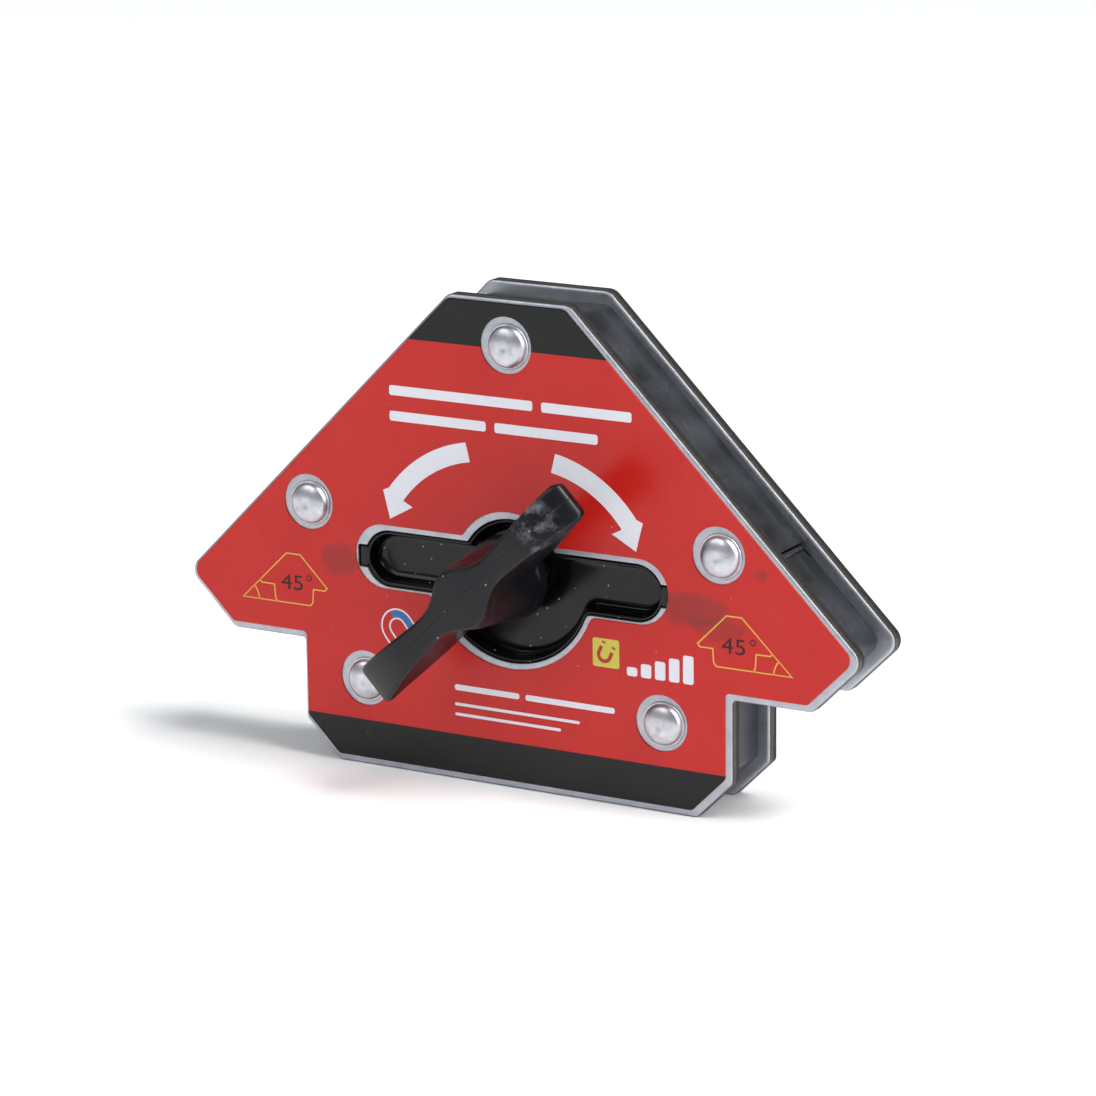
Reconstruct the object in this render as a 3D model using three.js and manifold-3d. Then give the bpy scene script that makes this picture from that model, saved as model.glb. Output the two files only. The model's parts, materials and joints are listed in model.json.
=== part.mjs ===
// Switchable arrow-shaped welding magnet.
// Two steel plates stand either side of a moulded core, held by five rivets. A lever in a moulded
// well turns one of two stacked disc magnets by half a turn, which switches the plate edges on or off.
//
// Millimetres. X is the width, Z is up, and the front face of the front plate lies in the plane Y = 0.
// The pieces are drawn in front view inside one group: x right, y up, z towards the viewer, so a
// depth into the holder is a negative z. The group is then turned upright.

import * as THREE from 'three';
import { mergeVertices } from 'three/addons/utils/BufferGeometryUtils.js';
import Module from 'manifold-3d';

const wasm = await Module();
wasm.setup();

// ---- Driving dimensions -------------------------------------------------------------------------

// Arrow outline, right half. All slanted edges lie at 45 degrees.
const overallHeight = 99.3;
const topHalfWidth = 13.6;
const tipHeight = 35.8;
const notchHeight = 24.8;
const baseHalfWidth = 49;
const baseChamfer = 7.9;
const topCornerRadius = 3;
const tipCornerRadius = 3;
const barbCornerRadius = 2;
const notchCornerRadius = 0.8;
const baseCornerRadius = 1.5;
const tipHalfWidth = topHalfWidth + overallHeight - tipHeight;

// Stack through the holder, as depths behind the front face.
const plateThickness = 3;
const coreThickness = 13;
const coreFront = plateThickness;
const coreBack = coreFront + coreThickness;
const holderBack = coreBack + plateThickness;
const fitGap = 0.3;
const runningFit = 0.15;
const slipGap = 0.1;
const cutAllowance = 1;

// Core edges set back from the plate edges.
const coreInset = 2.7;
const upperSlopeInset = 1.8;
const seamEndHeight = 53.9;

// Rib along each end of the lower core's seam, and the curved relief round the rib's rear end.
const seamRibRadius = 0.6;
const seamRibRise = 0.35;
const seamRibBack = 14;
const seamReliefRadius = 1.5;
const seamReliefWidth = 0.9;
const seamReliefDepth = 1.5;
const seamReliefAngles = [95, -35];

// Switch axis and the keyhole-shaped opening around it.
const axisHeight = 43.85;
const slotHalfHeight = 5.75;
const slotHalfLength = 33.8;
const upperBowlRadius = 11.35;
const lowerBowlRadius = 17.8;
const bowlCornerRadius = 1.4;
const tabHalfHeight = 2.2;
const tabLength = 1.4;

// Moulded well.
const wellRim = 0.2;
const wellFloor = 4;
const wellWall = 1.2;
const wellBottom = 5.5;
const wellClearance = 0.25;

// Printed film on the front plate.
const filmThickness = 0.25;
const filmInset = 1.1;
const filmShiftX = -0.45;
const filmShiftY = 0.35;
const filmSlotMargin = 0.85;
const filmEndMargin = 1.85;
const filmUpperMargin = 1.15;
const filmLowerMargin = 1.75;
const filmCornerRadius = 0.8;
const filmRivetHoleRadius = 5.7;

// Rivets and the sleeves that keep them from crushing the core.
const rivetShankRadius = 2.5;
const rivetHoleRadius = 2.75;
const rivetHeadRadius = 4.6;
const rivetHeadHeight = 2.2;
const rivetTailRadius = 4;
const rivetTailHeight = 1.5;
const sleeveInnerRadius = 2.8;
const sleeveOuterRadius = 4;
const rivetPlaces = {
  top: [0, 90],
  left: [-46.6, 53.4],
  right: [46.6, 53.4],
  bottom_left: [-34, 18.1],
  bottom_right: [34, 18.1],
};

// Lever knob. Heights are above the front face, lengths along the lever from its axis.
const leverAngle = 44;
const leverHalfLength = 31.3;
const leverHeight = 20.5;
const leverFlatHalfLength = 17;
const leverTipDrop = 4;
const leverTipUnderside = 14.4;
const leverTipCornerRadius = 1.4;
const leverArmRootHalfWidth = 1.7;
const leverArmTaper = 0.09;
const leverHubSwell = 4.6;
const leverHubSpread = 5.5;
const leverPlanSteps = 12;
const leverSideSteps = 16;
const leverUnderside = [
  [28.5, 13],
  [24, 9.3],
  [20, 6.6],
  [16, 4.8],
  [11.5, 3.6],
  [7, 3.2],
];
const skirtTopHeight = 17;
const skirtTopRadius = 6.2;
const skirtFootHeight = 1;
const skirtFootRadius = 8.7;
const bossRadius = 5.8;
const bossFootDepth = 3.6;

// Switch mechanism.
const spindleRadius = 3;
const spindleFlatHalfWidth = 2.4;
const spindleTopHeight = 9;
const spindleEndDepth = 20.4;
const spindleClearance = 0.3;
const spindleJoinOverlap = 0.5;
const carrierFront = 6;
const carrierFloorBack = 7;
const carrierHubRadius = 4.6;
const carrierRadius = 15.7;
const magnetBoreRadius = 4.9;
const magnetRadius = 15.4;
const rotorMagnetFront = 7.3;
const rotorMagnetBack = 10.9;
const fixedMagnetFront = 11.4;
const fixedMagnetBack = 15.6;
const chamberRadius = 16.4;
const shoeInnerRadius = 16.8;
const shoeOuterRadius = 21.6;
const shoeHalfSpan = 72;
const shoeEndRoomAngle = 2;
const shoeLugHalfSpan = 14;
const shoeLugAngle = 55;
const shoeFront = 6.1;
const shoeRelief = 0.8;
const pinRadius = 1;
const pinDepth = 8.9;
const bushRadius = 4.4;
const clipRadius = 5.4;
const clipThickness = 0.8;
const clipGrooveRadius = 2.5;
const clipFront = holderBack + 0.25;
const clipMouthHalfAngle = 0.5;
const washerRadius = 7.5;
const washerThickness = 0.35;
const washerBack = carrierFront - slipGap;

// Detent: a ball in the core rides on the rim of the magnet carrier and is lifted by two low humps.
const ballRadius = 1.5;
const ballClearance = 0.4;
const humpHeight = 0.3;
const humpHalfAngle = 4;
const humpLead = 12;
const detentDepth = (carrierFront + carrierFloorBack) / 2;
const detentBoreRadius = 1.9;
const springRadius = 1.35;
const springWireRadius = 0.25;
const springTurns = 5;
const springLength = 6;
const springGap = 0.15;
const ballHeight = axisHeight + carrierRadius + ballClearance + ballRadius;
const springSeat = Math.sqrt(ballRadius ** 2 - springRadius ** 2) + springWireRadius + springGap;
const springFoot = ballHeight + springSeat;

// ---- Solids -------------------------------------------------------------------------------------

// A closed three.js geometry as a solid for joining and cutting.
function solid(geometry) {
  const bare = geometry.index ? geometry.toNonIndexed() : geometry.clone();
  for (const name of Object.keys(bare.attributes)) {
    if (name !== 'position') {
      bare.deleteAttribute(name);
    }
  }
  const merged = mergeVertices(bare, 1e-4);
  return new wasm.Manifold(new wasm.Mesh({
    numProp: 3,
    vertProperties: new Float32Array(merged.attributes.position.array),
    triVerts: new Uint32Array(merged.index.array),
  }));
}

// A joined or cut solid back as a three.js geometry.
function geometryOf(body) {
  const mesh = body.getMesh();
  const geometry = new THREE.BufferGeometry();
  geometry.setAttribute('position', new THREE.BufferAttribute(new Float32Array(mesh.vertProperties), 3));
  geometry.setIndex(new THREE.BufferAttribute(new Uint32Array(mesh.triVerts), 1));
  geometry.computeVertexNormals();
  return geometry;
}

// The points of a path with its arcs divided and no two neighbours closer than a hundredth.
function distinctPoints(path, curveSegments) {
  const points = path.getPoints(curveSegments);
  return points.filter((point, i) => point.distanceTo(points[(i + 1) % points.length]) > 0.01);
}

// A front-view shape as a slab between two depths behind the front face.
function slab(shape, frontDepth, backDepth, curveSegments = 3) {
  const depth = backDepth - frontDepth;
  const outline = new THREE.Shape(distinctPoints(shape, curveSegments));
  const geometry = new THREE.ExtrudeGeometry(outline, { depth, bevelEnabled: false });
  geometry.translate(0, 0, -backDepth);
  return geometry;
}

// A body turned about the depth axis, from [radius, depth] points.
function turned(profile, segments = 24) {
  const points = profile.map(([radius, depth]) => new THREE.Vector2(radius, -depth));
  if (THREE.ShapeUtils.area(points) < 0) {
    points.reverse();
  }
  if (profile[0][0] > 0) {
    points.push(points[0].clone());
  }
  const geometry = new THREE.LatheGeometry(points, segments);
  geometry.rotateX(Math.PI / 2);
  return geometry;
}

function disc(radius, frontDepth, backDepth, segments = 24) {
  return turned([[0, frontDepth], [radius, frontDepth], [radius, backDepth], [0, backDepth]], segments);
}

function ring(inner, outer, frontDepth, backDepth, segments = 24) {
  return turned([[inner, frontDepth], [outer, frontDepth], [outer, backDepth], [inner, backDepth]], segments);
}

// ---- Outlines -----------------------------------------------------------------------------------

// The whole outline from its right half, listed from the top centre down, clockwise.
function mirrored(half) {
  const left = half.map(([x, y]) => [-x, y]).reverse();
  return [...half, ...left];
}

// A polygon with each edge moved inwards by its own distance. Points run clockwise.
function moveEdges(points, distances) {
  const count = points.length;
  const edges = points.map(([x, y], i) => {
    const [nextX, nextY] = points[(i + 1) % count];
    const length = Math.hypot(nextX - x, nextY - y);
    const normal = [(nextY - y) / length, -(nextX - x) / length];
    return { normal, offset: normal[0] * x + normal[1] * y + distances[i] };
  });
  return edges.map((edge, i) => {
    const before = edges[(i + count - 1) % count];
    const cross = before.normal[0] * edge.normal[1] - before.normal[1] * edge.normal[0];
    return [
      (before.offset * edge.normal[1] - edge.offset * before.normal[1]) / cross,
      (before.normal[0] * edge.offset - edge.normal[0] * before.offset) / cross,
    ];
  });
}

// A polygon with each corner rounded to its own radius.
function rounded(points, radii, path = new THREE.Shape()) {
  const count = points.length;
  points.forEach((corner, i) => {
    const here = new THREE.Vector2(...corner);
    const toLast = new THREE.Vector2(...points[(i + count - 1) % count]).sub(here).normalize();
    const toNext = new THREE.Vector2(...points[(i + 1) % count]).sub(here).normalize();
    const halfAngle = Math.acos(toLast.dot(toNext)) / 2;
    const reach = radii[i] / Math.tan(halfAngle);
    const start = here.clone().addScaledVector(toLast, reach);
    const end = here.clone().addScaledVector(toNext, reach);
    const middle = toLast.clone().add(toNext).normalize();
    const centre = here.clone().addScaledVector(middle, radii[i] / Math.sin(halfAngle));
    const startAngle = Math.atan2(start.y - centre.y, start.x - centre.x);
    const endAngle = Math.atan2(end.y - centre.y, end.x - centre.x);
    const clockwise = toLast.cross(toNext) > 0;
    if (i === 0) {
      path.moveTo(start.x, start.y);
    } else {
      path.lineTo(start.x, start.y);
    }
    path.absarc(centre.x, centre.y, radii[i], startAngle, endAngle, clockwise);
  });
  path.closePath();
  return path;
}

const arrowHalf = [
  [topHalfWidth, overallHeight],
  [tipHalfWidth, tipHeight],
  [tipHalfWidth - tipHeight + notchHeight, notchHeight],
  [baseHalfWidth, notchHeight],
  [baseHalfWidth, baseChamfer],
  [baseHalfWidth - baseChamfer, 0],
];
const arrowRadiiHalf = [
  topCornerRadius,
  tipCornerRadius,
  barbCornerRadius,
  notchCornerRadius,
  baseCornerRadius,
  baseCornerRadius,
];
const arrowPoints = mirrored(arrowHalf);
const arrowRadii = [...arrowRadiiHalf, ...arrowRadiiHalf.slice().reverse()];

// The arrow with every edge moved in by the same distance, or with the two long slopes by their own.
function arrowShape(inset, slopeInset = inset, shift = [0, 0]) {
  const distances = arrowPoints.map(() => inset);
  distances[0] = slopeInset;
  distances[arrowPoints.length - 2] = slopeInset;
  const points = moveEdges(arrowPoints, distances).map(([x, y]) => [x + shift[0], y + shift[1]]);
  return rounded(points, arrowRadii);
}

// Keyhole opening: a long slot crossed by a small bowl above and a large one below, all on the switch
// axis. A tab length adds the two square notches at the slot's ends.
function keyhole({ half, length, upper, lower, corner, tab = 0, tabHalf = 0, shift = [0, 0] }) {
  const ends = length - half;
  const cx = shift[0];
  const cy = axisHeight + shift[1];
  const upperMeet = Math.asin(half / upper);
  const cornerReach = Math.sqrt((lower + corner) ** 2 - (half + corner) ** 2);
  const lowerMeet = Math.asin((half + corner) / (lower + corner));
  const tabMeet = Math.asin(tabHalf / half);
  const path = new THREE.Shape();
  path.moveTo(cx + upper * Math.cos(upperMeet), cy + half);
  path.absarc(cx, cy, upper, upperMeet, Math.PI - upperMeet, false);
  path.absarc(cx - ends, cy, half, Math.PI / 2, Math.PI - tabMeet, false);
  if (tab > 0) {
    path.lineTo(cx - ends - half - tab, cy + tabHalf);
    path.lineTo(cx - ends - half - tab, cy - tabHalf);
  }
  path.absarc(cx - ends, cy, half, Math.PI + tabMeet, Math.PI * 1.5, false);
  path.absarc(cx - cornerReach, cy - half - corner, corner, Math.PI / 2, lowerMeet, true);
  path.absarc(cx, cy, lower, Math.PI + lowerMeet, Math.PI * 2 - lowerMeet, false);
  path.absarc(cx + cornerReach, cy - half - corner, corner, Math.PI - lowerMeet, Math.PI / 2, true);
  path.absarc(cx + ends, cy, half, -Math.PI / 2, -tabMeet, false);
  if (tab > 0) {
    path.lineTo(cx + ends + half + tab, cy - tabHalf);
    path.lineTo(cx + ends + half + tab, cy + tabHalf);
  }
  path.absarc(cx + ends, cy, half, tabMeet, Math.PI / 2, false);
  path.closePath();
  return path;
}

// The plate's opening grown all round, for what lines it or leaves room for it.
function openingGrown(grow, tab) {
  return keyhole({
    half: slotHalfHeight + grow,
    length: slotHalfLength + grow,
    upper: upperBowlRadius + grow,
    lower: lowerBowlRadius + grow,
    corner: bowlCornerRadius - Math.min(grow, 0.5),
    tab,
    tabHalf: tab > 0 ? tabHalfHeight + grow : 0,
  });
}

function atRivets(makeSolid) {
  return Object.values(rivetPlaces).map(([x, y]) => makeSolid().translate([x, y, 0]));
}

function subtractAll(body, cutters) {
  return cutters.reduce((rest, cutter) => rest.subtract(cutter), body);
}

// A part of a ring between two angles in degrees, as a shape.
function sector(inner, outer, middleAngle, halfSpan) {
  const start = THREE.MathUtils.degToRad(middleAngle - halfSpan);
  const end = THREE.MathUtils.degToRad(middleAngle + halfSpan);
  const shape = new THREE.Shape();
  shape.absarc(0, axisHeight, outer, start, end, false);
  shape.absarc(0, axisHeight, inner, end, start, true);
  shape.closePath();
  return shape;
}

function onAxis(geometry) {
  return geometry.translate(0, axisHeight, 0);
}

// ---- Plates and film ----------------------------------------------------------------------------

// Front pole plate: blanked steel with the keyhole opening, its tab notches and five rivet holes.
function frontPlate() {
  const blank = solid(slab(arrowShape(0), 0, plateThickness));
  const opening = openingGrown(0, tabLength + wellClearance);
  return geometryOf(subtractAll(blank, [
    solid(slab(opening, -cutAllowance, plateThickness + cutAllowance, 5)),
    ...atRivets(() => solid(disc(rivetHoleRadius, -cutAllowance, plateThickness + cutAllowance, 20))),
  ]));
}

// Rear pole plate: the same blank without the keyhole, bored for the spindle bush.
function rearPlate() {
  const blank = solid(slab(arrowShape(0), coreBack, holderBack));
  return geometryOf(subtractAll(blank, [
    solid(onAxis(disc(bushRadius + fitGap / 2, coreBack - cutAllowance, holderBack + cutAllowance))),
    ...atRivets(() => solid(disc(rivetHoleRadius, coreBack - cutAllowance, holderBack + cutAllowance, 20))),
  ]));
}

// Printed film: the arrow a little smaller, laid slightly up and to the left, with clearance holes.
function frontFilm() {
  const shift = [filmShiftX, filmShiftY];
  const blank = solid(slab(arrowShape(filmInset, filmInset, shift), -filmThickness, 0));
  const holeShift = [filmShiftX, filmShiftY / 2, 0];
  const holes = atRivets(() => {
    const hole = solid(disc(filmRivetHoleRadius, -cutAllowance, cutAllowance, 32));
    return hole.translate(holeShift);
  });
  const opening = solid(slab(keyhole({
    half: slotHalfHeight + filmSlotMargin,
    length: slotHalfLength + filmEndMargin,
    upper: upperBowlRadius + filmUpperMargin,
    lower: lowerBowlRadius + filmLowerMargin,
    corner: filmCornerRadius,
    shift,
  }), -cutAllowance, cutAllowance, 5));
  return geometryOf(subtractAll(blank, [opening, ...holes]));
}

// ---- Core ---------------------------------------------------------------------------------------

// Everything the two core mouldings make room for: the well, the rotor, the pole shoes, the sleeves,
// the detent bore.
function coreCutters() {
  const shoeRoom = shoeHalfSpan + shoeEndRoomAngle;
  const shoes = [0, 180].map((angle) => {
    const room = sector(shoeInnerRadius - cutAllowance, shoeOuterRadius + fitGap, angle, shoeRoom);
    return solid(slab(room, coreFront - cutAllowance, coreBack + cutAllowance, 8));
  });
  const wellRoom = openingGrown(fitGap, tabLength + fitGap);
  const sleeveRoom = sleeveOuterRadius + slipGap;
  const boreFoot = axisHeight + chamberRadius - cutAllowance;
  const boreLength = springFoot + springLength + springWireRadius + springGap - boreFoot;
  const bore = new THREE.CylinderGeometry(detentBoreRadius, detentBoreRadius, boreLength, 12);
  bore.translate(0, boreFoot + boreLength / 2, -detentDepth);
  return [
    solid(slab(wellRoom, coreFront - cutAllowance, wellBottom + fitGap, 5)),
    solid(onAxis(disc(chamberRadius, coreFront - cutAllowance, coreBack + cutAllowance, 40))),
    ...shoes,
    ...atRivets(() => solid(disc(sleeveRoom, coreFront - cutAllowance, coreBack + cutAllowance, 20))),
    solid(bore),
  ];
}

// The region above the seam: level with the switch axis, then square to the slopes near their edges.
function seamRegion(gap) {
  const endX = topHalfWidth + overallHeight - upperSlopeInset * Math.SQRT2 - seamEndHeight;
  const level = axisHeight + gap;
  const turn = endX - (seamEndHeight - axisHeight);
  const far = overallHeight;
  const half = [
    [turn, level],
    [turn + far, level + far],
    [turn + far, level + 2 * far],
  ];
  return new THREE.Shape(mirrored(half).map(([x, y]) => new THREE.Vector2(x, y)));
}

function upperCore() {
  const blank = solid(slab(arrowShape(coreInset, upperSlopeInset), coreFront, coreBack, 5));
  const above = solid(slab(seamRegion(fitGap / 2), coreFront - cutAllowance, coreBack + cutAllowance));
  return geometryOf(subtractAll(blank.intersect(above), coreCutters()));
}

// Where the seam comes out on the lower core's right slope.
function seamEnd() {
  const slopeSum = topHalfWidth + overallHeight - coreInset * Math.SQRT2;
  const seamDifference = topHalfWidth + overallHeight - upperSlopeInset * Math.SQRT2 - 2 * seamEndHeight;
  return [(slopeSum + seamDifference) / 2, (slopeSum - seamDifference) / 2];
}

// A round rib just below the seam on the right slope, from the front plate towards the rear plate.
function seamRib() {
  const [x, y] = seamEnd();
  const below = (fitGap / 2 + seamRibRadius) * Math.SQRT1_2;
  const out = seamRibRise * Math.SQRT1_2;
  const rib = solid(disc(seamRibRadius, coreFront, seamRibBack, 16));
  return rib.translate([x + below + out, y - below + out, 0]);
}

// The relief that curves from the seam round the rib's rear end, cut square to the right slope.
function seamRelief() {
  const [x, y] = seamEnd();
  const [start, end] = seamReliefAngles.map((angle) => THREE.MathUtils.degToRad(angle));
  const middle = -seamReliefRadius - seamReliefWidth / 2;
  const shape = new THREE.Shape();
  shape.absarc(seamRibBack, middle, seamReliefRadius + seamReliefWidth / 2, start, end, true);
  shape.absarc(seamRibBack, middle, seamReliefRadius - seamReliefWidth / 2, end, start, false);
  shape.closePath();
  const points = distinctPoints(shape, 8);
  const cutter = new THREE.ExtrudeGeometry(new THREE.Shape(points), {
    depth: 2 * seamReliefDepth,
    bevelEnabled: false,
  });
  cutter.translate(0, 0, -seamReliefDepth);
  const inward = new THREE.Vector3(0, 0, -1);
  const upSlope = new THREE.Vector3(-Math.SQRT1_2, Math.SQRT1_2, 0);
  const outward = new THREE.Vector3(Math.SQRT1_2, Math.SQRT1_2, 0);
  cutter.applyMatrix4(new THREE.Matrix4().makeBasis(inward, upSlope, outward));
  return solid(cutter.translate(x, y, 0));
}

function lowerCore() {
  const blank = solid(slab(arrowShape(coreInset), coreFront, coreBack, 5));
  const above = solid(slab(seamRegion(-fitGap / 2), coreFront - cutAllowance, coreBack + cutAllowance));
  const ribs = seamRib().add(seamRib().mirror([1, 0, 0]));
  const reliefs = [seamRelief(), seamRelief().mirror([1, 0, 0])];
  return geometryOf(subtractAll(blank.subtract(above).add(ribs), [...reliefs, ...coreCutters()]));
}

// ---- Well ---------------------------------------------------------------------------------------

// Moulded tray that lines the keyhole, with a snap tab at each end of the slot.
function switchWell() {
  const outer = solid(slab(openingGrown(-wellClearance, tabLength), wellRim, wellBottom, 5));
  const pocket = solid(slab(openingGrown(-wellClearance - wellWall, 0), -cutAllowance, wellFloor, 5));
  const bore = solid(onAxis(disc(spindleRadius + spindleClearance, 0, wellBottom + cutAllowance)));
  return geometryOf(outer.subtract(pocket).subtract(bore));
}

// ---- Lever and spindle --------------------------------------------------------------------------

// Half-width of the lever in plan, at a distance from its axis.
function leverHalfWidth(along) {
  const arm = leverArmRootHalfWidth + leverArmTaper * along;
  return arm + leverHubSwell * Math.exp(-((along / leverHubSpread) ** 2));
}

// Height of the lever's front face, flat over the middle and falling away to the tips.
function leverFrontHeight(along) {
  const past = Math.max(0, along - leverFlatHalfLength) / (leverHalfLength - leverFlatHalfLength);
  return leverHeight - leverTipDrop * past ** 2;
}

function leverPlan() {
  const side = [];
  for (let i = -leverPlanSteps; i <= leverPlanSteps; i += 1) {
    const along = (leverHalfLength - leverTipCornerRadius) * (i / leverPlanSteps);
    side.push([along, leverHalfWidth(Math.abs(along))]);
  }
  const shape = new THREE.Shape();
  shape.moveTo(side[0][0], side[0][1]);
  for (const [along, half] of side.slice(1)) {
    shape.lineTo(along, half);
  }
  const tipHalf = leverHalfWidth(leverHalfLength) - leverTipCornerRadius;
  shape.lineTo(leverHalfLength, tipHalf);
  shape.lineTo(leverHalfLength, -tipHalf);
  for (const [along, half] of side.slice().reverse()) {
    shape.lineTo(along, -half);
  }
  shape.lineTo(-leverHalfLength, -tipHalf);
  shape.lineTo(-leverHalfLength, tipHalf);
  shape.closePath();
  return shape;
}

// Side view of the lever: x along it, y its height. The arms are undercut so that fingers fit behind.
function leverSide() {
  const shape = new THREE.Shape();
  for (let i = -leverSideSteps; i <= leverSideSteps; i += 1) {
    const along = leverHalfLength * (i / leverSideSteps);
    const height = leverFrontHeight(Math.abs(along));
    if (i === -leverSideSteps) {
      shape.moveTo(along, height);
    } else {
      shape.lineTo(along, height);
    }
  }
  const under = [[leverHalfLength, leverTipUnderside], ...leverUnderside];
  for (const [along, height] of under) {
    shape.lineTo(along, height);
  }
  for (const [along, height] of under.slice().reverse()) {
    shape.lineTo(-along, height);
  }
  shape.closePath();
  return shape;
}

// Lever: plan and side view crossed, with a round skirt and a boss down to the floor of the well.
function lever() {
  const plan = solid(slab(leverPlan(), -leverHeight - cutAllowance, 0));
  const width = 2 * (skirtFootRadius + cutAllowance);
  const side = new THREE.ExtrudeGeometry(leverSide(), { depth: width, bevelEnabled: false });
  side.translate(0, 0, -width / 2);
  side.rotateX(Math.PI / 2);
  const skirt = turned([
    [0, -skirtTopHeight],
    [skirtTopRadius, -skirtTopHeight],
    [skirtFootRadius, -skirtFootHeight],
    [bossRadius, 0],
    [bossRadius, bossFootDepth],
    [0, bossFootDepth],
  ], 32);
  const socket = spindleSolid(runningFit, -spindleTopHeight - fitGap, bossFootDepth + cutAllowance);
  const body = plan.intersect(solid(side)).add(solid(skirt)).subtract(socket);
  return geometryOf(body.rotate([0, 0, leverAngle])).translate(0, axisHeight, 0);
}

// A length of the spindle with its two driving flats, grown by a fit allowance.
function spindleSolid(grow, frontDepth, backDepth) {
  const round = solid(disc(spindleRadius + grow, frontDepth, backDepth));
  const across = 2 * (spindleFlatHalfWidth + grow);
  const length = backDepth - frontDepth + 2 * cutAllowance;
  const flats = new THREE.BoxGeometry(across, 4 * spindleRadius, length);
  flats.translate(0, 0, -(frontDepth + backDepth) / 2);
  return round.intersect(solid(flats));
}

// Spindle: flatted from the lever to the carrier, round behind it, grooved for its clip, cross-bored.
function spindle() {
  const flatted = spindleSolid(0, -spindleTopHeight, rotorMagnetBack);
  const overlapFront = rotorMagnetBack - spindleJoinOverlap;
  const grooveFront = clipFront - slipGap;
  const grooveBack = clipFront + clipThickness + slipGap;
  const round = solid(turned([
    [0, overlapFront],
    [spindleFlatHalfWidth, overlapFront],
    [spindleFlatHalfWidth, rotorMagnetBack],
    [spindleRadius, rotorMagnetBack],
    [spindleRadius, grooveFront],
    [clipGrooveRadius, grooveFront],
    [clipGrooveRadius, grooveBack],
    [spindleRadius, grooveBack],
    [spindleRadius, spindleEndDepth],
    [0, spindleEndDepth],
  ]));
  const body = flatted.add(round).subtract(crossBore());
  return geometryOf(body.rotate([0, 0, leverAngle])).translate(0, axisHeight, 0);
}

function crossBore() {
  const radius = pinRadius + runningFit;
  const bore = new THREE.CylinderGeometry(radius, radius, 2 * (carrierHubRadius + cutAllowance), 12);
  bore.translate(0, 0, -pinDepth);
  return solid(bore);
}

function crossPin() {
  const pin = new THREE.CylinderGeometry(pinRadius, pinRadius, 2 * (carrierHubRadius - slipGap), 12);
  pin.translate(0, 0, -pinDepth);
  pin.rotateZ(THREE.MathUtils.degToRad(leverAngle));
  return onAxis(pin);
}

// ---- Magnets ------------------------------------------------------------------------------------

// Carrier: a cup floor with a flatted hub for the spindle; its rim has the two pairs of detent humps.
function rotorCarrier() {
  const rim = new THREE.Shape();
  const steps = 60;
  const humps = [0, 180].flatMap((stop) => [stop + humpLead, stop + 180 - humpLead]);
  for (let i = 0; i < steps; i += 1) {
    const angle = (i / steps) * 360;
    const nearest = Math.min(...humps.map((hump) => Math.abs(((angle - hump + 540) % 360) - 180)));
    const lift = Math.max(0, 1 - nearest / (humpHalfAngle * 2)) * humpHeight;
    const radians = THREE.MathUtils.degToRad(angle);
    const x = (carrierRadius + lift) * Math.cos(radians);
    const y = (carrierRadius + lift) * Math.sin(radians);
    if (i === 0) {
      rim.moveTo(x, y);
    } else {
      rim.lineTo(x, y);
    }
  }
  rim.closePath();
  const hub = solid(disc(carrierHubRadius, carrierFront, rotorMagnetBack));
  const body = solid(slab(rim, carrierFront, carrierFloorBack)).add(hub);
  const socket = spindleSolid(runningFit, carrierFront - cutAllowance, rotorMagnetBack + cutAllowance);
  const bored = body.subtract(socket);
  const turnedBody = bored.subtract(crossBore()).rotate([0, 0, leverAngle]);
  return geometryOf(turnedBody).translate(0, axisHeight, 0);
}

function rotorMagnet() {
  return onAxis(ring(magnetBoreRadius, magnetRadius, rotorMagnetFront, rotorMagnetBack, 32));
}

function fixedMagnet() {
  return onAxis(ring(magnetBoreRadius, magnetRadius, fixedMagnetFront, fixedMagnetBack, 32));
}

// Pole shoe: most of a half ring round the magnets. One shoe reaches forward to the front plate
// through a lug above the slot; the other reaches back to the rear plate.
function poleShoe(middleAngle, touchesFront) {
  const ringPart = sector(shoeInnerRadius, shoeOuterRadius, middleAngle, shoeHalfSpan);
  const back = touchesFront ? coreBack - shoeRelief : coreBack;
  const body = solid(slab(ringPart, shoeFront, back, 8));
  if (!touchesFront) {
    return geometryOf(body);
  }
  const lugAngle = middleAngle - shoeLugAngle;
  const lug = sector(shoeInnerRadius, shoeOuterRadius, lugAngle, shoeLugHalfSpan);
  return geometryOf(body.add(solid(slab(lug, coreFront, shoeFront + cutAllowance, 4))));
}

// ---- Small parts --------------------------------------------------------------------------------

function washer() {
  const inner = spindleRadius + spindleClearance;
  return onAxis(ring(inner, washerRadius, washerBack - washerThickness, washerBack));
}

function bush() {
  return onAxis(ring(spindleRadius + runningFit, bushRadius, coreBack, holderBack));
}

// Retaining clip with an open gap, sprung into the groove behind the rear plate.
function retainingClip() {
  const shape = new THREE.Shape();
  const end = Math.PI * 2 - clipMouthHalfAngle;
  shape.absarc(0, axisHeight, clipRadius, clipMouthHalfAngle, end, false);
  shape.absarc(0, axisHeight, clipGrooveRadius + runningFit, end, clipMouthHalfAngle, true);
  shape.closePath();
  return slab(shape, clipFront, clipFront + clipThickness, 8);
}

function detentBall() {
  return new THREE.SphereGeometry(ballRadius, 14, 10).translate(0, ballHeight, -detentDepth);
}

class SpringCurve extends THREE.Curve {
  getPoint(t, target = new THREE.Vector3()) {
    const angle = t * springTurns * Math.PI * 2;
    return target.set(springRadius * Math.cos(angle), t * springLength, springRadius * Math.sin(angle));
  }
}

function detentSpring() {
  const wire = new THREE.Shape();
  wire.absarc(0, 0, springWireRadius, 0, Math.PI * 2, false);
  const coil = new THREE.ExtrudeGeometry(wire, {
    steps: 70,
    bevelEnabled: false,
    curveSegments: 4,
    extrudePath: new SpringCurve(),
  });
  return coil.translate(0, springFoot, -detentDepth);
}

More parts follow.
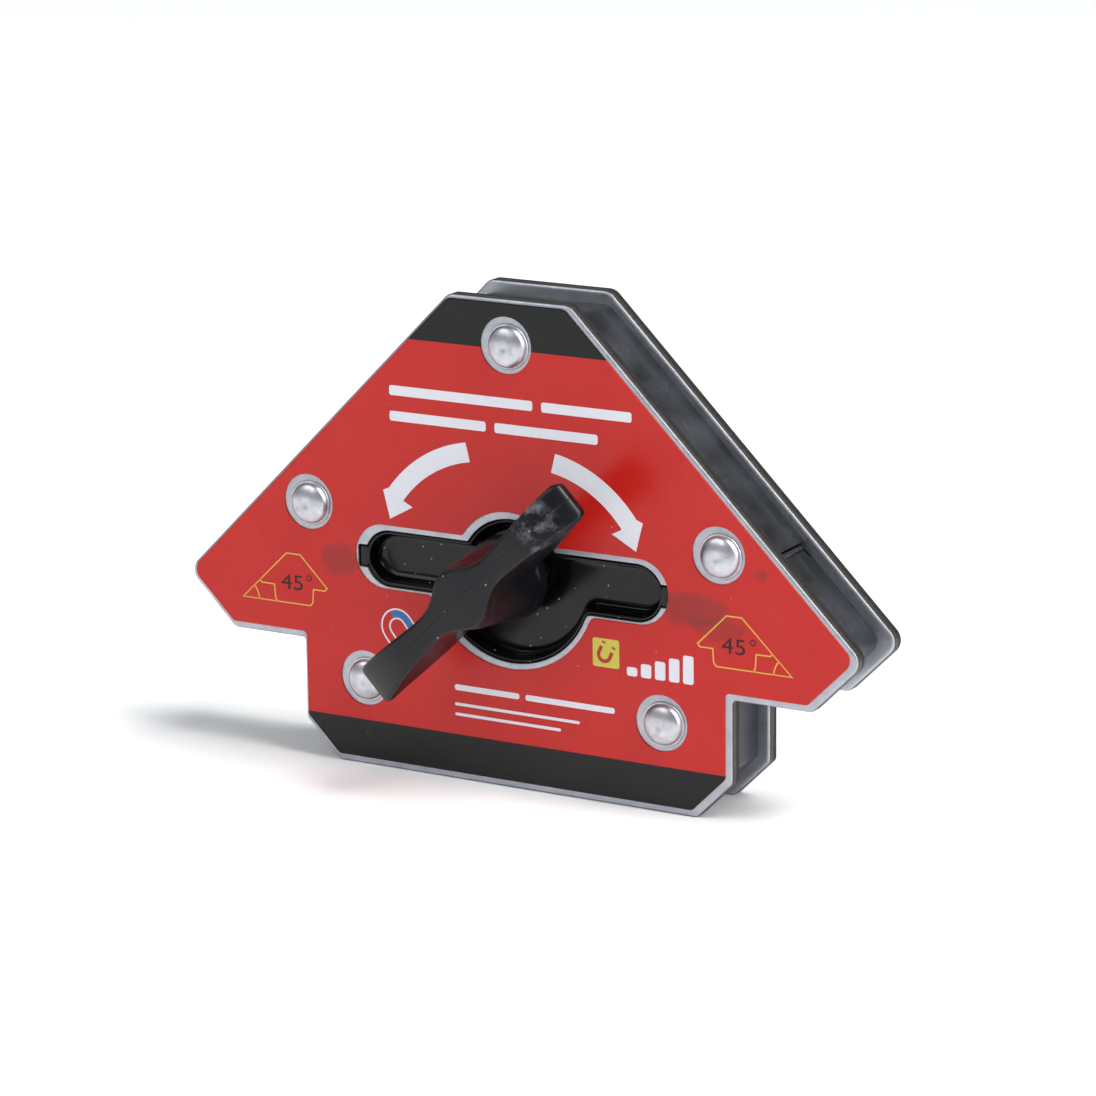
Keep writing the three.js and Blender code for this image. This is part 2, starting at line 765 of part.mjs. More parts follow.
// Rivet: domed head on the front, shank through the stack, lower dome formed behind.
function rivet() {
  return turned([
    [0, -rivetHeadHeight],
    [rivetHeadRadius * 0.4, -rivetHeadHeight * 0.94],
    [rivetHeadRadius * 0.72, -rivetHeadHeight * 0.7],
    [rivetHeadRadius * 0.93, -rivetHeadHeight * 0.35],
    [rivetHeadRadius, 0],
    [rivetShankRadius, 0],
    [rivetShankRadius, holderBack],
    [rivetTailRadius, holderBack],
    [rivetTailRadius * 0.85, holderBack + rivetTailHeight * 0.6],
    [rivetTailRadius * 0.45, holderBack + rivetTailHeight * 0.95],
    [0, holderBack + rivetTailHeight],
  ], 18);
}

function rivetSleeve() {
  return ring(sleeveInnerRadius, sleeveOuterRadius, coreFront, coreBack, 18);
}

// ---- Materials ----------------------------------------------------------------------------------

function finish(color, roughness, metalness) {
  return new THREE.MeshStandardMaterial({ color, roughness, metalness });
}

const zincPlate = finish(0xa9aeb4, 0.42, 0.9);
const redFilm = finish(0xc8423f, 0.35, 0);
const coreMoulding = finish(0x5a5e64, 0.5, 0);
const blackMoulding = finish(0x26272b, 0.3, 0);
const rivetSteel = finish(0xb9bbbd, 0.38, 0.9);
const barSteel = finish(0x8b8d90, 0.4, 0.9);
const nickelMagnet = finish(0xb4b6ba, 0.25, 1);
const brass = finish(0xb08d4a, 0.35, 1);
const nylon = finish(0xd9d6cc, 0.5, 0);

// ---- Assembly -----------------------------------------------------------------------------------

const holder = new THREE.Group();
const frontView = new THREE.Group();
frontView.rotation.x = Math.PI / 2;
holder.add(frontView);

function place(name, geometry, material, position = [0, 0, 0]) {
  const mesh = new THREE.Mesh(geometry, material.clone());
  mesh.name = name;
  mesh.position.set(...position);
  frontView.add(mesh);
}

place('front_plate', frontPlate(), zincPlate);
place('rear_plate', rearPlate(), zincPlate);
place('front_film', frontFilm(), redFilm);
place('upper_core', upperCore(), coreMoulding);
place('lower_core', lowerCore(), coreMoulding);
place('switch_well', switchWell(), blackMoulding);
place('lever_knob', lever(), blackMoulding);
place('spindle', spindle(), barSteel);
place('cross_pin', crossPin(), barSteel);
place('rotor_carrier', rotorCarrier(), brass);
place('rotor_magnet', rotorMagnet(), nickelMagnet);
place('fixed_magnet', fixedMagnet(), nickelMagnet);
place('left_pole_shoe', poleShoe(180, true), barSteel);
place('right_pole_shoe', poleShoe(0, false), barSteel);
place('thrust_washer', washer(), nylon);
place('spindle_bush', bush(), brass);
place('retaining_clip', retainingClip(), barSteel);
place('detent_ball', detentBall(), barSteel);
place('detent_spring', detentSpring(), barSteel);
for (const [corner, [x, y]] of Object.entries(rivetPlaces)) {
  place(`rivet_${corner}`, rivet(), rivetSteel, [x, y, 0]);
  place(`rivet_sleeve_${corner}`, rivetSleeve(), barSteel, [x, y, 0]);
}

export default holder;
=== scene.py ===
import json
import math

import bmesh
import bpy
from mathutils import Matrix, Vector


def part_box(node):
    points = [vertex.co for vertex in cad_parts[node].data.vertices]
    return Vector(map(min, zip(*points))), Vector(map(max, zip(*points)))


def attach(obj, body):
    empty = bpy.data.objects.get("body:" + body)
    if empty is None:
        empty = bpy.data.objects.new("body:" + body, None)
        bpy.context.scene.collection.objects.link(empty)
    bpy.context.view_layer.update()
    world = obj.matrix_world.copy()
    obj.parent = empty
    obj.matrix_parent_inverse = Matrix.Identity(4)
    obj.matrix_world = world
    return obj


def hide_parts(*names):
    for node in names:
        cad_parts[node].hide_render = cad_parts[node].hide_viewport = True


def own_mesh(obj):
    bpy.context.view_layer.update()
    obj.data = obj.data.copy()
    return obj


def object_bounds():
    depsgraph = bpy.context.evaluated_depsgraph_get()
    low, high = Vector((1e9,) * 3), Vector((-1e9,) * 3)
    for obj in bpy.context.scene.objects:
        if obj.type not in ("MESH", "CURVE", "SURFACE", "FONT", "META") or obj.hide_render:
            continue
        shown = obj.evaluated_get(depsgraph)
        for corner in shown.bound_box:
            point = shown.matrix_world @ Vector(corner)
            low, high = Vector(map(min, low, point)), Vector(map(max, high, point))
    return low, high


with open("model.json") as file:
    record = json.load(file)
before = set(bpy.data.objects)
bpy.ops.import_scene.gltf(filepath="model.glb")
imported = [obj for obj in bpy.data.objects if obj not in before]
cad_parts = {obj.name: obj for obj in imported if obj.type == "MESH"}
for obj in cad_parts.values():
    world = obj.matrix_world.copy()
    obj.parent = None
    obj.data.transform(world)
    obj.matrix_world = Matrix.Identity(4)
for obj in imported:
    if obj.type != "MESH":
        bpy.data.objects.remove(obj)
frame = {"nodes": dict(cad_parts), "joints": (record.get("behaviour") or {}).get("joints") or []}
cad_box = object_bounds()


# ---- Pole plates ------------------------------------------------------------------------------
# Two 3 mm steel plates cut to the same arrow outline by a press tool. The side that the punch
# enters has a rolled edge, the other breaks away rough. Bright zinc plating covers both.

MM = 0.001
arrow_height = 99.3
arrow_top_half = 13.6
arrow_tip_height = 35.8
arrow_notch_height = 24.8
arrow_base_half = 49
arrow_base_chamfer = 7.9
arrow_corner_radii = (3, 3, 2, 0.8, 1.5, 1.5)
slot_half_height = 5.75
slot_half_length = 33.8
upper_bowl_radius = 11.35
lower_bowl_radius = 17.8
bowl_corner_radius = 1.4
shoulder_radius = 0.7
tab_half_height = 2.2
tab_length = 1.65
tab_corner_radius = 0.4
rivet_hole_radius = 2.75
bush_radius = 4.4
edge_roll = 0.65
break_radius = 0.25
land_width = 0.5
degrees_per_step = 6
same_point = 1e-4
least_radius = 0.01
least_fillet = 0.5
bush_gap = 0.1
sheared_from = edge_roll * 0.35

joints = {joint["name"]: joint for joint in frame["joints"]}
axis_height = joints["lever_turn"]["pos_m"][2] / MM


def node_box(name):
    """The low and high corners of a CAD node, in millimetres."""
    low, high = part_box(name)
    return low / MM, high / MM


def node_centre(name):
    low, high = node_box(name)
    return (low + high) / 2


rivet_corners = ("top", "left", "right", "bottom_left", "bottom_right")
rivet_places = [node_centre(f"rivet_{corner}") for corner in rivet_corners]


def moved_edges(points, distances):
    """A clockwise polygon with each edge moved inwards by its own distance."""
    edges = []
    for (x, z), (next_x, next_z), distance in zip(points, points[1:] + points[:1], distances):
        length = math.hypot(next_x - x, next_z - z)
        normal = ((next_z - z) / length, -(next_x - x) / length)
        edges.append((normal, normal[0] * x + normal[1] * z + distance))
    moved = []
    for (before, before_offset), (after, after_offset) in zip(edges[-1:] + edges[:-1], edges):
        cross = before[0] * after[1] - before[1] * after[0]
        moved.append((
            (before_offset * after[1] - after_offset * before[1]) / cross,
            (before[0] * after_offset - after[0] * before_offset) / cross,
        ))
    return moved


def corner_arcs(points, radii):
    """The rounded corners of a clockwise polygon, as (centre, radius, start, end, side) arcs. The
    side is 1 where the arc grows as the outline grows and -1 where it shrinks."""
    arcs = []
    for i, (corner, radius) in enumerate(zip(points, radii)):
        here = Vector(corner)
        to_last = (Vector(points[i - 1]) - here).normalized()
        to_next = (Vector(points[(i + 1) % len(points)]) - here).normalized()
        half_angle = to_last.angle(to_next) / 2
        centre = here + (to_last + to_next).normalized() * radius / math.sin(half_angle)
        start = here + to_last * radius / math.tan(half_angle) - centre
        end = here + to_next * radius / math.tan(half_angle) - centre
        start_angle = math.atan2(start.y, start.x)
        end_angle = math.atan2(end.y, end.x)
        side = 1 if to_last.x * to_next.y - to_last.y * to_next.x > 0 else -1
        while side * (end_angle - start_angle) > 0:
            end_angle -= side * 2 * math.pi
        arcs.append((tuple(centre), radius, start_angle, end_angle, side))
    return arcs


def outline(arcs, grow=0.0):
    """The points of a closed outline made of arcs and the straight lines between them, grown
    outwards all round. It has the same number of points whatever it is grown by."""
    plain, grown = [], []
    for (x, z), radius, start, end, side in arcs:
        steps = max(2, round(abs(math.degrees(end - start)) / degrees_per_step))
        reach = max(radius + side * grow, least_radius)
        for step in range(steps + 1):
            angle = start + (end - start) * step / steps
            plain.append((x + radius * math.cos(angle), z + radius * math.sin(angle)))
            grown.append((x + reach * math.cos(angle), z + reach * math.sin(angle)))
    before = plain[-1:] + plain[:-1]
    return [point for point, here, last in zip(grown, plain, before) if math.dist(here, last) > same_point]


def mirror_half(half):
    return half + [(-x, z) for x, z in reversed(half)]


def arrow_arcs(inset=0.0, slope_inset=None, shift=(0.0, 0.0), radii=arrow_corner_radii):
    tip_half = arrow_top_half + arrow_height - arrow_tip_height
    points = mirror_half([
        (arrow_top_half, arrow_height),
        (tip_half, arrow_tip_height),
        (tip_half - arrow_tip_height + arrow_notch_height, arrow_notch_height),
        (arrow_base_half, arrow_notch_height),
        (arrow_base_half, arrow_base_chamfer),
        (arrow_base_half - arrow_base_chamfer, 0),
    ])
    distances = [inset] * len(points)
    distances[0] = distances[-2] = inset if slope_inset is None else slope_inset
    moved = [(x + shift[0], z + shift[1]) for x, z in moved_edges(points, distances)]
    return corner_arcs(moved, radii + radii[::-1])


def between(circle, line, fillet):
    """The fillet between a circle on the origin and a level line above it: its centre and the
    angle at which it meets the circle."""
    reach = math.sqrt((circle + fillet) ** 2 - (line + fillet) ** 2)
    return (reach, line + fillet), math.asin((line + fillet) / (circle + fillet))


def keyhole_arcs(grow=0.0, tab=0.0, shift=(0.0, 0.0), slot=slot_half_height,
                 length=slot_half_length, upper=upper_bowl_radius, lower=lower_bowl_radius):
    """The slot with its two bowls, clockwise from the top, grown all round. A tab adds the small
    square notch at each end of the slot."""
    slot, length, upper, lower = slot + grow, length + grow, upper + grow, lower + grow
    fillet = max(bowl_corner_radius - grow, least_fillet)
    top_fillet, top_meets = between(upper, slot, shoulder_radius)
    low_fillet, low_meets = between(lower, slot, fillet)
    mouth, mouth_meets = between(slot, tab_half_height + grow, tab_corner_radius)
    end = length - slot
    right, quarter = math.pi, math.pi / 2
    upper_half = [((0, 0), upper, quarter, top_meets, 1),
                  (top_fillet, shoulder_radius, right + top_meets, 3 * quarter, -1)]
    slot_end = [((end, 0), slot, quarter, 0, 1), ((end, 0), slot, 0, -quarter, 1)]
    if tab:
        notch = (end + slot + tab - tab_corner_radius, tab_half_height + grow - tab_corner_radius)
        mouth = (end + mouth[0], mouth[1])
        slot_end = [
            ((end, 0), slot, quarter, mouth_meets, 1),
            (mouth, tab_corner_radius, right + mouth_meets, 3 * quarter, -1),
            (notch, tab_corner_radius, quarter, 0, 1),
            ((notch[0], -notch[1]), tab_corner_radius, 0, -quarter, 1),
            ((mouth[0], -mouth[1]), tab_corner_radius, quarter, right - mouth_meets, -1),
            ((end, 0), slot, -mouth_meets, -quarter, 1),
        ]
    lower_half = [((low_fillet[0], -low_fillet[1]), fillet, quarter, right - low_meets, -1),
                  ((0, 0), lower, -low_meets, -quarter, 1)]
    half = upper_half + slot_end + lower_half
    other = [((-x, z), radius, right - last, right - first, side)
             for (x, z), radius, first, last, side in reversed(half)]
    return [((x + shift[0], z + axis_height + shift[1]), radius, first, last, side)
            for (x, z), radius, first, last, side in half + other]


def circle_arcs(centre, radius):
    return [(centre, radius, 2 * math.pi, 0, 1)]


def rolled(front, back, front_radius, back_radius):
    """The (inset, depth) steps over an edge, from the flat land in front to the one behind."""
    steps = [(front_radius + land_width, front)]
    for degrees in (0, 18, 36, 54, 72, 90):
        angle = math.radians(degrees)
        steps.append((front_radius * (1 - math.sin(angle)), front + front_radius * (1 - math.cos(angle))))
    for degrees in (90, 60, 30, 0):
        angle = math.radians(degrees)
        steps.append((back_radius * (1 - math.sin(angle)), back - back_radius * (1 - math.cos(angle))))
    return steps + [(back_radius + land_width, back)]


def add_ring(bm, points, depth):
    return [bm.verts.new((x * MM, depth * MM, z * MM)) for x, z in points]


def skin(bm, near, far, slot=0):
    for i in range(len(near)):
        j = (i + 1) % len(near)
        face = bm.faces.new((near[i], near[j], far[j], far[i]))
        face.material_index = slot


def skin_rings(bm, rings):
    for near, far in zip(rings, rings[1:]):
        skin(bm, near, far)


def cap(bm, rings, slot=0):
    """Closes a flat face between one outer ring and any holes in it."""
    edges = [bm.edges.get((ring[i - 1], ring[i])) for ring in rings for i in range(len(ring))]
    made = bmesh.ops.triangle_fill(bm, edges=edges, use_beauty=True)["geom"]
    for face in made:
        if isinstance(face, bmesh.types.BMFace):
            face.material_index = slot


def slab(bm, walls, side_slot=0, side_from=None):
    """A flat plate whose walls are (arcs, edge steps, direction): the direction is 1 for the outer
    wall and -1 for a hole, whose insets run outwards from it."""
    fronts, backs = [], []
    for arcs, steps, direction in walls:
        rings = [add_ring(bm, outline(arcs, -direction * inset), depth) for inset, depth in steps]
        for i, (near, far) in enumerate(zip(rings, rings[1:])):
            is_side = side_from is not None and steps[i][0] <= side_from and steps[i + 1][0] <= side_from
            skin(bm, near, far, side_slot if is_side else 0)
        fronts.append(rings[0])
        backs.append(rings[-1])
    cap(bm, fronts)
    cap(bm, backs)


def piece(name, bm, body, materials, replaced=(), smooth_below=40):
    """Finishes a mesh as one piece: merged, facing out, smooth up to an angle, with its materials,
    its CAD body and the CAD nodes that it stands for."""
    bmesh.ops.remove_doubles(bm, verts=bm.verts, dist=1e-6)
    bmesh.ops.dissolve_degenerate(bm, edges=bm.edges, dist=1e-7)
    bmesh.ops.recalc_face_normals(bm, faces=bm.faces)
    mesh = bpy.data.meshes.new(name + "_finished")
    bm.to_mesh(mesh)
    bm.free()
    mesh.shade_smooth()
    mesh.set_sharp_from_angle(angle=math.radians(smooth_below))
    made = bpy.data.objects.new(name + "_finished", mesh)
    bpy.context.scene.collection.objects.link(made)
    for finish in materials:
        mesh.materials.append(finish)
    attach(made, body)
    if replaced:
        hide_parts(*replaced)
    return made


def linear(hex_colour):
    """An sRGB hex colour as linear RGBA."""
    channels = [int(hex_colour[i:i + 2], 16) / 255 for i in (1, 3, 5)]
    return [c / 12.92 if c <= 0.04045 else ((c + 0.055) / 1.055) ** 2.4 for c in channels] + [1.0]


def add(tree, kind, inputs=None, **settings):
    """Adds a shader node. Its inputs are values, or the output sockets that they link from. A
    MapRange goes from inputs 1 and 2 to inputs 3 and 4, which are 0 and 1 where not given."""
    made = tree.nodes.new("ShaderNode" + kind)
    for name, value in settings.items():
        setattr(made, name, value)
    for socket, value in (inputs or {}).items():
        if isinstance(value, bpy.types.NodeSocket):
            tree.links.new(value, made.inputs[socket])
        else:
            made.inputs[socket].default_value = value
    return made.outputs


def per(size_mm):
    """The texture scale at which a pattern repeats about every size_mm."""
    return 1 / (size_mm * MM)


def start_material(name):
    made = bpy.data.materials.new(name)
    made.use_nodes = True
    tree = made.node_tree
    tree.nodes.clear()
    place = add(tree, "TexCoord")["Object"]
    return made, tree, place


def finish_material(tree, bump=None, **sockets):
    """The Principled shader and the output, with socket names written with underscores. The bump
    is its strength, its depth in millimetres and its height."""
    inputs = {name.replace("_", " "): value for name, value in sockets.items()}
    if bump:
        relief = {"Strength": bump[0], "Distance": bump[1] * MM, "Height": bump[2]}
        inputs["Normal"] = add(tree, "Bump", relief)["Normal"]
    shader = add(tree, "BsdfPrincipled", inputs)["BSDF"]
    add(tree, "OutputMaterial", {"Surface": shader})


def zinc_plated_steel():
    """Electroplated zinc on rolled sheet: cool grey metal, a soft cloudy sheen and fine pits. The
    pits are drawn coarser than real ones, so that they show."""
    made, tree, place = start_material("zinc_plated_steel")
    cloud = add(tree, "TexNoise", {"Vector": place, "Scale": per(5), "Detail": 5.0, "Roughness": 0.6})[0]
    grain = add(tree, "TexNoise", {"Vector": place, "Scale": per(0.7), "Detail": 4.0, "Roughness": 0.65})[0]
    pits = add(tree, "MapRange", {0: grain, 1: 0.66, 2: 0.74})[0]
    tone = add(tree, "MapRange", {0: cloud, 1: 0.3, 2: 0.7})[0]
    mixed = add(tree, "Mix", {0: tone, 6: linear("#a3a7ae"), 7: linear("#babdc4")}, data_type="RGBA")[2]
    colour = add(tree, "Mix", {0: pits, 6: mixed, 7: linear("#7b7f86")}, data_type="RGBA")[2]
    rough = add(tree, "MapRange", {0: grain, 1: 0.3, 2: 0.7, 3: 0.36, 4: 0.56})[0]
    finish_material(tree, (0.35, 0.03, grain), Base_Color=colour, Metallic=1.0, Roughness=rough)
    return made


def sheared_edge_steel():
    """The cut edge of pressed steel: a dull burnished band, then a dark line where the metal let go,
    then a rough brown-grey fracture. The plates stand one pitch apart, so one pattern serves both."""
    made, tree, place = start_material("sheared_edge_steel")
    depth = add(tree, "SeparateXYZ", {0: place})["Y"]
    wander = add(tree, "TexNoise", {"Vector": place, "Scale": per(4), "Detail": 3.0})[0]
    wandered = add(tree, "Math", {0: wander, 1: 0.7 * MM, 2: depth}, operation="MULTIPLY_ADD")[0]
    within = add(tree, "Math", {0: wandered, 1: plate_pitch * MM}, operation="FLOORED_MODULO")[0]
    stretched = add(tree, "Mapping", {"Vector": place, "Scale": (1.0, 0.15, 1.0)})[0]
    streaks = add(tree, "TexNoise", {"Vector": stretched, "Scale": per(0.5), "Detail": 4.0})[0]
    broken = add(tree, "MapRange", {0: within, 1: 2.0 * MM, 2: 2.25 * MM})[0]
    line = add(tree, "MapRange", {0: within, 1: 1.75 * MM, 2: 2.0 * MM})[0]
    line_end = add(tree, "Math", {0: line, 1: broken}, operation="SUBTRACT")[0]
    band = add(tree, "Mix", {0: streaks, 6: linear("#2f2c2b"), 7: linear("#57524e")}, data_type="RGBA")[2]
    torn = add(tree, "Mix", {0: streaks, 6: linear("#1d1b19"), 7: linear("#3c3834")}, data_type="RGBA")[2]
    both = add(tree, "Mix", {0: broken, 6: band, 7: torn}, data_type="RGBA")[2]
    colour = add(tree, "Mix", {0: line_end, 6: both, 7: linear("#0f0e0d")}, data_type="RGBA")[2]
    rough = add(tree, "MapRange", {0: broken, 3: 0.45, 4: 0.7})[0]
    finish_material(tree, (0.7, 0.06, streaks), Base_Color=colour, Metallic=0.6, Roughness=rough)
    return made


front_low, front_high = node_box("front_plate")
rear_low, rear_high = node_box("rear_plate")
plate_pitch = rear_low.y - front_low.y
zinc = zinc_plated_steel()
sheared = sheared_edge_steel()


def plate(name, low, high, openings):
    bm = bmesh.new()
    over = rolled(low.y, high.y, edge_roll, break_radius)
    hole_edge = rolled(low.y, high.y, break_radius, break_radius)
    walls = [(arrow_arcs(), over, 1)]
    walls += [(arcs, hole_edge, -1) for arcs in openings]
    walls += [(circle_arcs((rivet.x, rivet.z), rivet_hole_radius), hole_edge, -1) for rivet in rivet_places]
    slab(bm, walls, side_slot=1, side_from=sheared_from)
    return piece(name, bm, "holder", [zinc, sheared], [name])


plate("front_plate", front_low, front_high, [keyhole_arcs(tab=tab_length)])
plate("rear_plate", rear_low, rear_high, [circle_arcs((0, axis_height), bush_radius + bush_gap)])


# ---- Printed film -----------------------------------------------------------------------------
# A thin polyester label printed red with a black band along the top and the foot, stuck to the
# front plate slightly up and to the left. Die-cut holes leave the plate bare round each rivet.

film_inset = 1.1
film_shift = (-0.45, 0.35)
film_rivet_hole_radius = 5.7
film_slot = slot_half_height + 0.85
film_length = slot_half_length + 1.85
film_upper_bowl = upper_bowl_radius + 1.15
film_lower_bowl = lower_bowl_radius + 1.75
film_edge_radius = 0.06
film_land = 0.2
dark_patch_drift = 3.5
top_band_foot = 89.4
bottom_band_top = 9.5
film_corner_radii = (2.4, 2.6, 1.2, 1.0, 1.2, 1.2)


def printed_film(name, light, dark, dark_patches):
    """Gloss-laminated label film: flat strong ink under a clear skin, so that it shows a soft pale
    reflection of the bench. A few soft patches on it are painted darker, and specks of dust lie on it."""
    made, tree, place = start_material(name)
    cloud = add(tree, "TexNoise", {"Vector": place, "Scale": per(14), "Detail": 4.0})[0]
    ink = add(tree, "Mix", {0: cloud, 6: linear(light), 7: linear(dark)}, data_type="RGBA")[2]
    cell = add(tree, "TexVoronoi", {"Vector": place, "Scale": per(7)})
    speck = add(tree, "MapRange", {0: cell["Distance"], 1: 0.03, 2: 0.02, 3: 0.0, 4: 0.6})[0]
    colour = add(tree, "Mix", {0: speck, 6: ink, 7: linear("#b8a9a6")}, data_type="RGBA")[2]
    drift = (dark_patch_drift * MM, 0.0, dark_patch_drift * MM)
    # Each patch paints the ink darker, towards a dark red-brown, and fades out at a ragged edge.
    for (x, z), (half_width, half_height), strength in dark_patches:
        offset = add(tree, "VectorMath", {0: place, 1: (x * MM, 0.0, z * MM)}, operation="SUBTRACT")[0]
        ragged = add(tree, "TexNoise", {"Vector": place, "Scale": per(2.5), "Detail": 3.0})["Color"]
        swirl = add(tree, "VectorMath", {0: ragged, 1: drift}, operation="MULTIPLY")[0]
        warped = add(tree, "VectorMath", {0: offset, 1: swirl}, operation="ADD")[0]
        half_size = (half_width * MM, 1.0, half_height * MM)
        scaled = add(tree, "VectorMath", {0: warped, 1: half_size}, operation="DIVIDE")[0]
        reach = add(tree, "VectorMath", {0: scaled}, operation="LENGTH")["Value"]
        mask = add(tree, "MapRange", {0: reach, 1: 0.75, 2: 1.15, 3: strength, 4: 0.0})[0]
        colour = add(tree, "Mix", {0: mask, 6: colour, 7: linear("#5a2c2a")}, data_type="RGBA")[2]
    peel = add(tree, "TexNoise", {"Vector": place, "Scale": per(1.6), "Detail": 2.0})[0]
    rough = add(tree, "MapRange", {0: cloud, 3: 0.14, 4: 0.42})[0]
    finish_material(tree, (0.12, 0.03, peel), Base_Color=colour, Roughness=rough, IOR=1.38)
    return made


film_low, film_high = node_box("front_film")
# Soft patches where the red film is painted darker, beside the ends of the slot: centre, half size and
# strength.
red_film_dark_patches = [
    ((-38.5, 44.0), (4.5, 3.5), 0.4), ((42.0, 44.0), (8.5, 3.5), 0.45),
    ((48.0, 40.8), (6.5, 2.2), 0.35), ((57.0, 52.5), (1.3, 1.3), 0.4),
]
red_film = printed_film("red_label_film", "#c5221b", "#b81a15", red_film_dark_patches)
black_film = printed_film("black_label_film", "#08090a", "#050506", [])

film = bmesh.new()
film_edge = [(film_edge_radius + film_land, film_low.y), (film_edge_radius, film_low.y),
             (film_edge_radius * 0.3, film_low.y + film_edge_radius * 0.3),
             (0, film_low.y + film_edge_radius), (0, film_high.y), (film_land, film_high.y)]
film_walls = [(arrow_arcs(film_inset, shift=film_shift, radii=film_corner_radii), film_edge, 1)]
film_walls.append((keyhole_arcs(shift=film_shift, slot=film_slot, length=film_length,
                                upper=film_upper_bowl, lower=film_lower_bowl), film_edge, -1))
for rivet in rivet_places:
    hole_centre = (rivet.x + film_shift[0], rivet.z + film_shift[1] / 2)
    film_walls.append((circle_arcs(hole_centre, film_rivet_hole_radius), film_edge, -1))
slab(film, film_walls)
for height in (top_band_foot, bottom_band_top):
    bmesh.ops.bisect_plane(film, geom=film.verts[:] + film.edges[:] + film.faces[:],
                           plane_co=(0, 0, height * MM), plane_no=(0, 0, 1))
for face in film.faces:
    middle = face.calc_center_median().z / MM
    face.material_index = 0 if bottom_band_top < middle < top_band_foot else 1
piece("front_film", film, "holder", [red_film, black_film], ["front_film"])


# ---- Print on the film ------------------------------------------------------------------------
# The graphics are screen printed on the film in white, yellow, blue and dark ink, each a thin layer
# that stands a hair above it. Plain bars stand where a maker would put lettering.

ink_height = 0.03
ink_sink = 0.03
title_bar = 2.0
name_bar = 1.2
small_bar = 0.6
bar_corner_radius = 0.5
pictogram_line = 0.26
figure_size = (5.6, 4.5)


def screen_ink(name, colour, worn_colour):
    """Opaque screen ink: an even satin colour with slight thin spots where the film shows."""
    made, tree, place = start_material(name)
    thin = add(tree, "TexNoise", {"Vector": place, "Scale": per(0.9), "Detail": 3.0})[0]
    worn = add(tree, "MapRange", {0: thin, 1: 0.6, 2: 0.8, 3: 0.0, 4: 0.35})[0]
    mixed = add(tree, "Mix", {0: worn, 6: linear(colour), 7: linear(worn_colour)}, data_type="RGBA")[2]
    finish_material(tree, (0.1, 0.02, thin), Base_Color=mixed, Roughness=0.32, IOR=1.38)
    return made


def add_ink(bm, points, layer=1):
    """A flat patch of ink with the given outline. A second layer is printed over the first."""
    front = add_ring(bm, points, film_low.y - ink_height * layer)
    back = add_ring(bm, points, film_low.y + ink_sink)
    skin(bm, front, back)
    bm.faces.new(front)
    bm.faces.new(back)


def add_ink_line(bm, points, width=pictogram_line, closed=False, layer=1):
    """A line of ink of even width along a path, mitred at its corners."""
    count = len(points)
    left, right = [], []
    for i, point in enumerate(points):
        here = Vector(point)
        last = Vector(points[i - 1]) if closed or i > 0 else here * 2 - Vector(points[1])
        following = Vector(points[(i + 1) % count]) if closed or i < count - 1 else here * 2 - last
        before, after = (here - last).normalized(), (following - here).normalized()
        middle = (before + after).normalized()
        across = Vector((-middle.y, middle.x)) * width / 2 / max(middle.dot(before), 0.5)
        left.append(tuple(here + across))
        right.append(tuple(here - across))
    if not closed:
        add_ink(bm, left + right[::-1], layer)
        return
    rings = [add_ring(bm, side, depth) for depth in (film_low.y - ink_height * layer, film_low.y + ink_sink)
             for side in (left, right)]
    for near, far in ((0, 1), (1, 3), (3, 2), (2, 0)):
        skin(bm, rings[near], rings[far])


def arc_points(centre, radius, start, end, steps=16):
    return [(centre[0] + radius * math.cos(math.radians(start + (end - start) * i / steps)),
             centre[1] + radius * math.sin(math.radians(start + (end - start) * i / steps)))
            for i in range(steps + 1)]


def heading(degrees):
    return Vector((math.cos(math.radians(degrees)), math.sin(math.radians(degrees))))


def bar_points(left, right, low, high):
    """A bar with round corners, as large as they can be on a thin one."""
    radius = min(bar_corner_radius, (high - low) / 2.2)
    return outline(corner_arcs([(left, high), (right, high), (right, low), (left, low)], (radius,) * 4))


white_print = bmesh.new()
yellow_print = bmesh.new()
outline_print = bmesh.new()
blue_print = bmesh.new()
red_print = bmesh.new()
dark_print = bmesh.new()

# Two title lines, one name line and two small lines, each broken where words would break.
for left, right, middle, height in (
    (-27.3, 5.4, 78.7, title_bar), (7.4, 27.4, 78.7, title_bar),
    (-27.3, -5.2, 73.5, title_bar), (-3.2, 19.9, 73.5, title_bar),
    (-13.3, 1.6, 19.3, name_bar), (3.0, 23.2, 19.3, name_bar),
    (-13.3, 15.3, 15.8, small_bar), (-13.3, 11.0, 13.7, small_bar),
):
    add_ink(white_print, bar_points(left, right, middle - height / 2, middle + height / 2))

# The two curved arrows that show which way the lever turns.
turn_centre = (-4.8, 41.7)
turn_outer, turn_inner = 28.6, 24.6
turn_start, turn_end = 100.3, 143.5
head_outer, head_inner, head_tip = (-29.2, 58.1), (-22.4, 55.2), (-27.7, 52.3)
turn_arrow = arc_points(turn_centre, turn_outer, turn_start, turn_end)
turn_arrow += [head_outer, head_tip, head_inner]
turn_arrow += arc_points(turn_centre, turn_inner, turn_end, turn_start - 0.6)
add_ink(white_print, turn_arrow)
add_ink(white_print, [(0.5 - x, z - 0.1) for x, z in turn_arrow])

# The load is shown by a magnet sign in a yellow square and five rising bars.
load_bar_left, load_bar_foot, load_bar_top = 26.0, 27.0, 28.8
load_bar_pitch, load_bar_width, load_bar_rise = 3.1, 2.3, 0.98
add_ink(yellow_print, bar_points(18.4, 24.3, 28.0, 33.8))
for step in range(5):
    left = load_bar_left + step * load_bar_pitch
    top = load_bar_top + step * load_bar_rise
    add_ink(white_print, bar_points(left, left + load_bar_width, load_bar_foot, top))


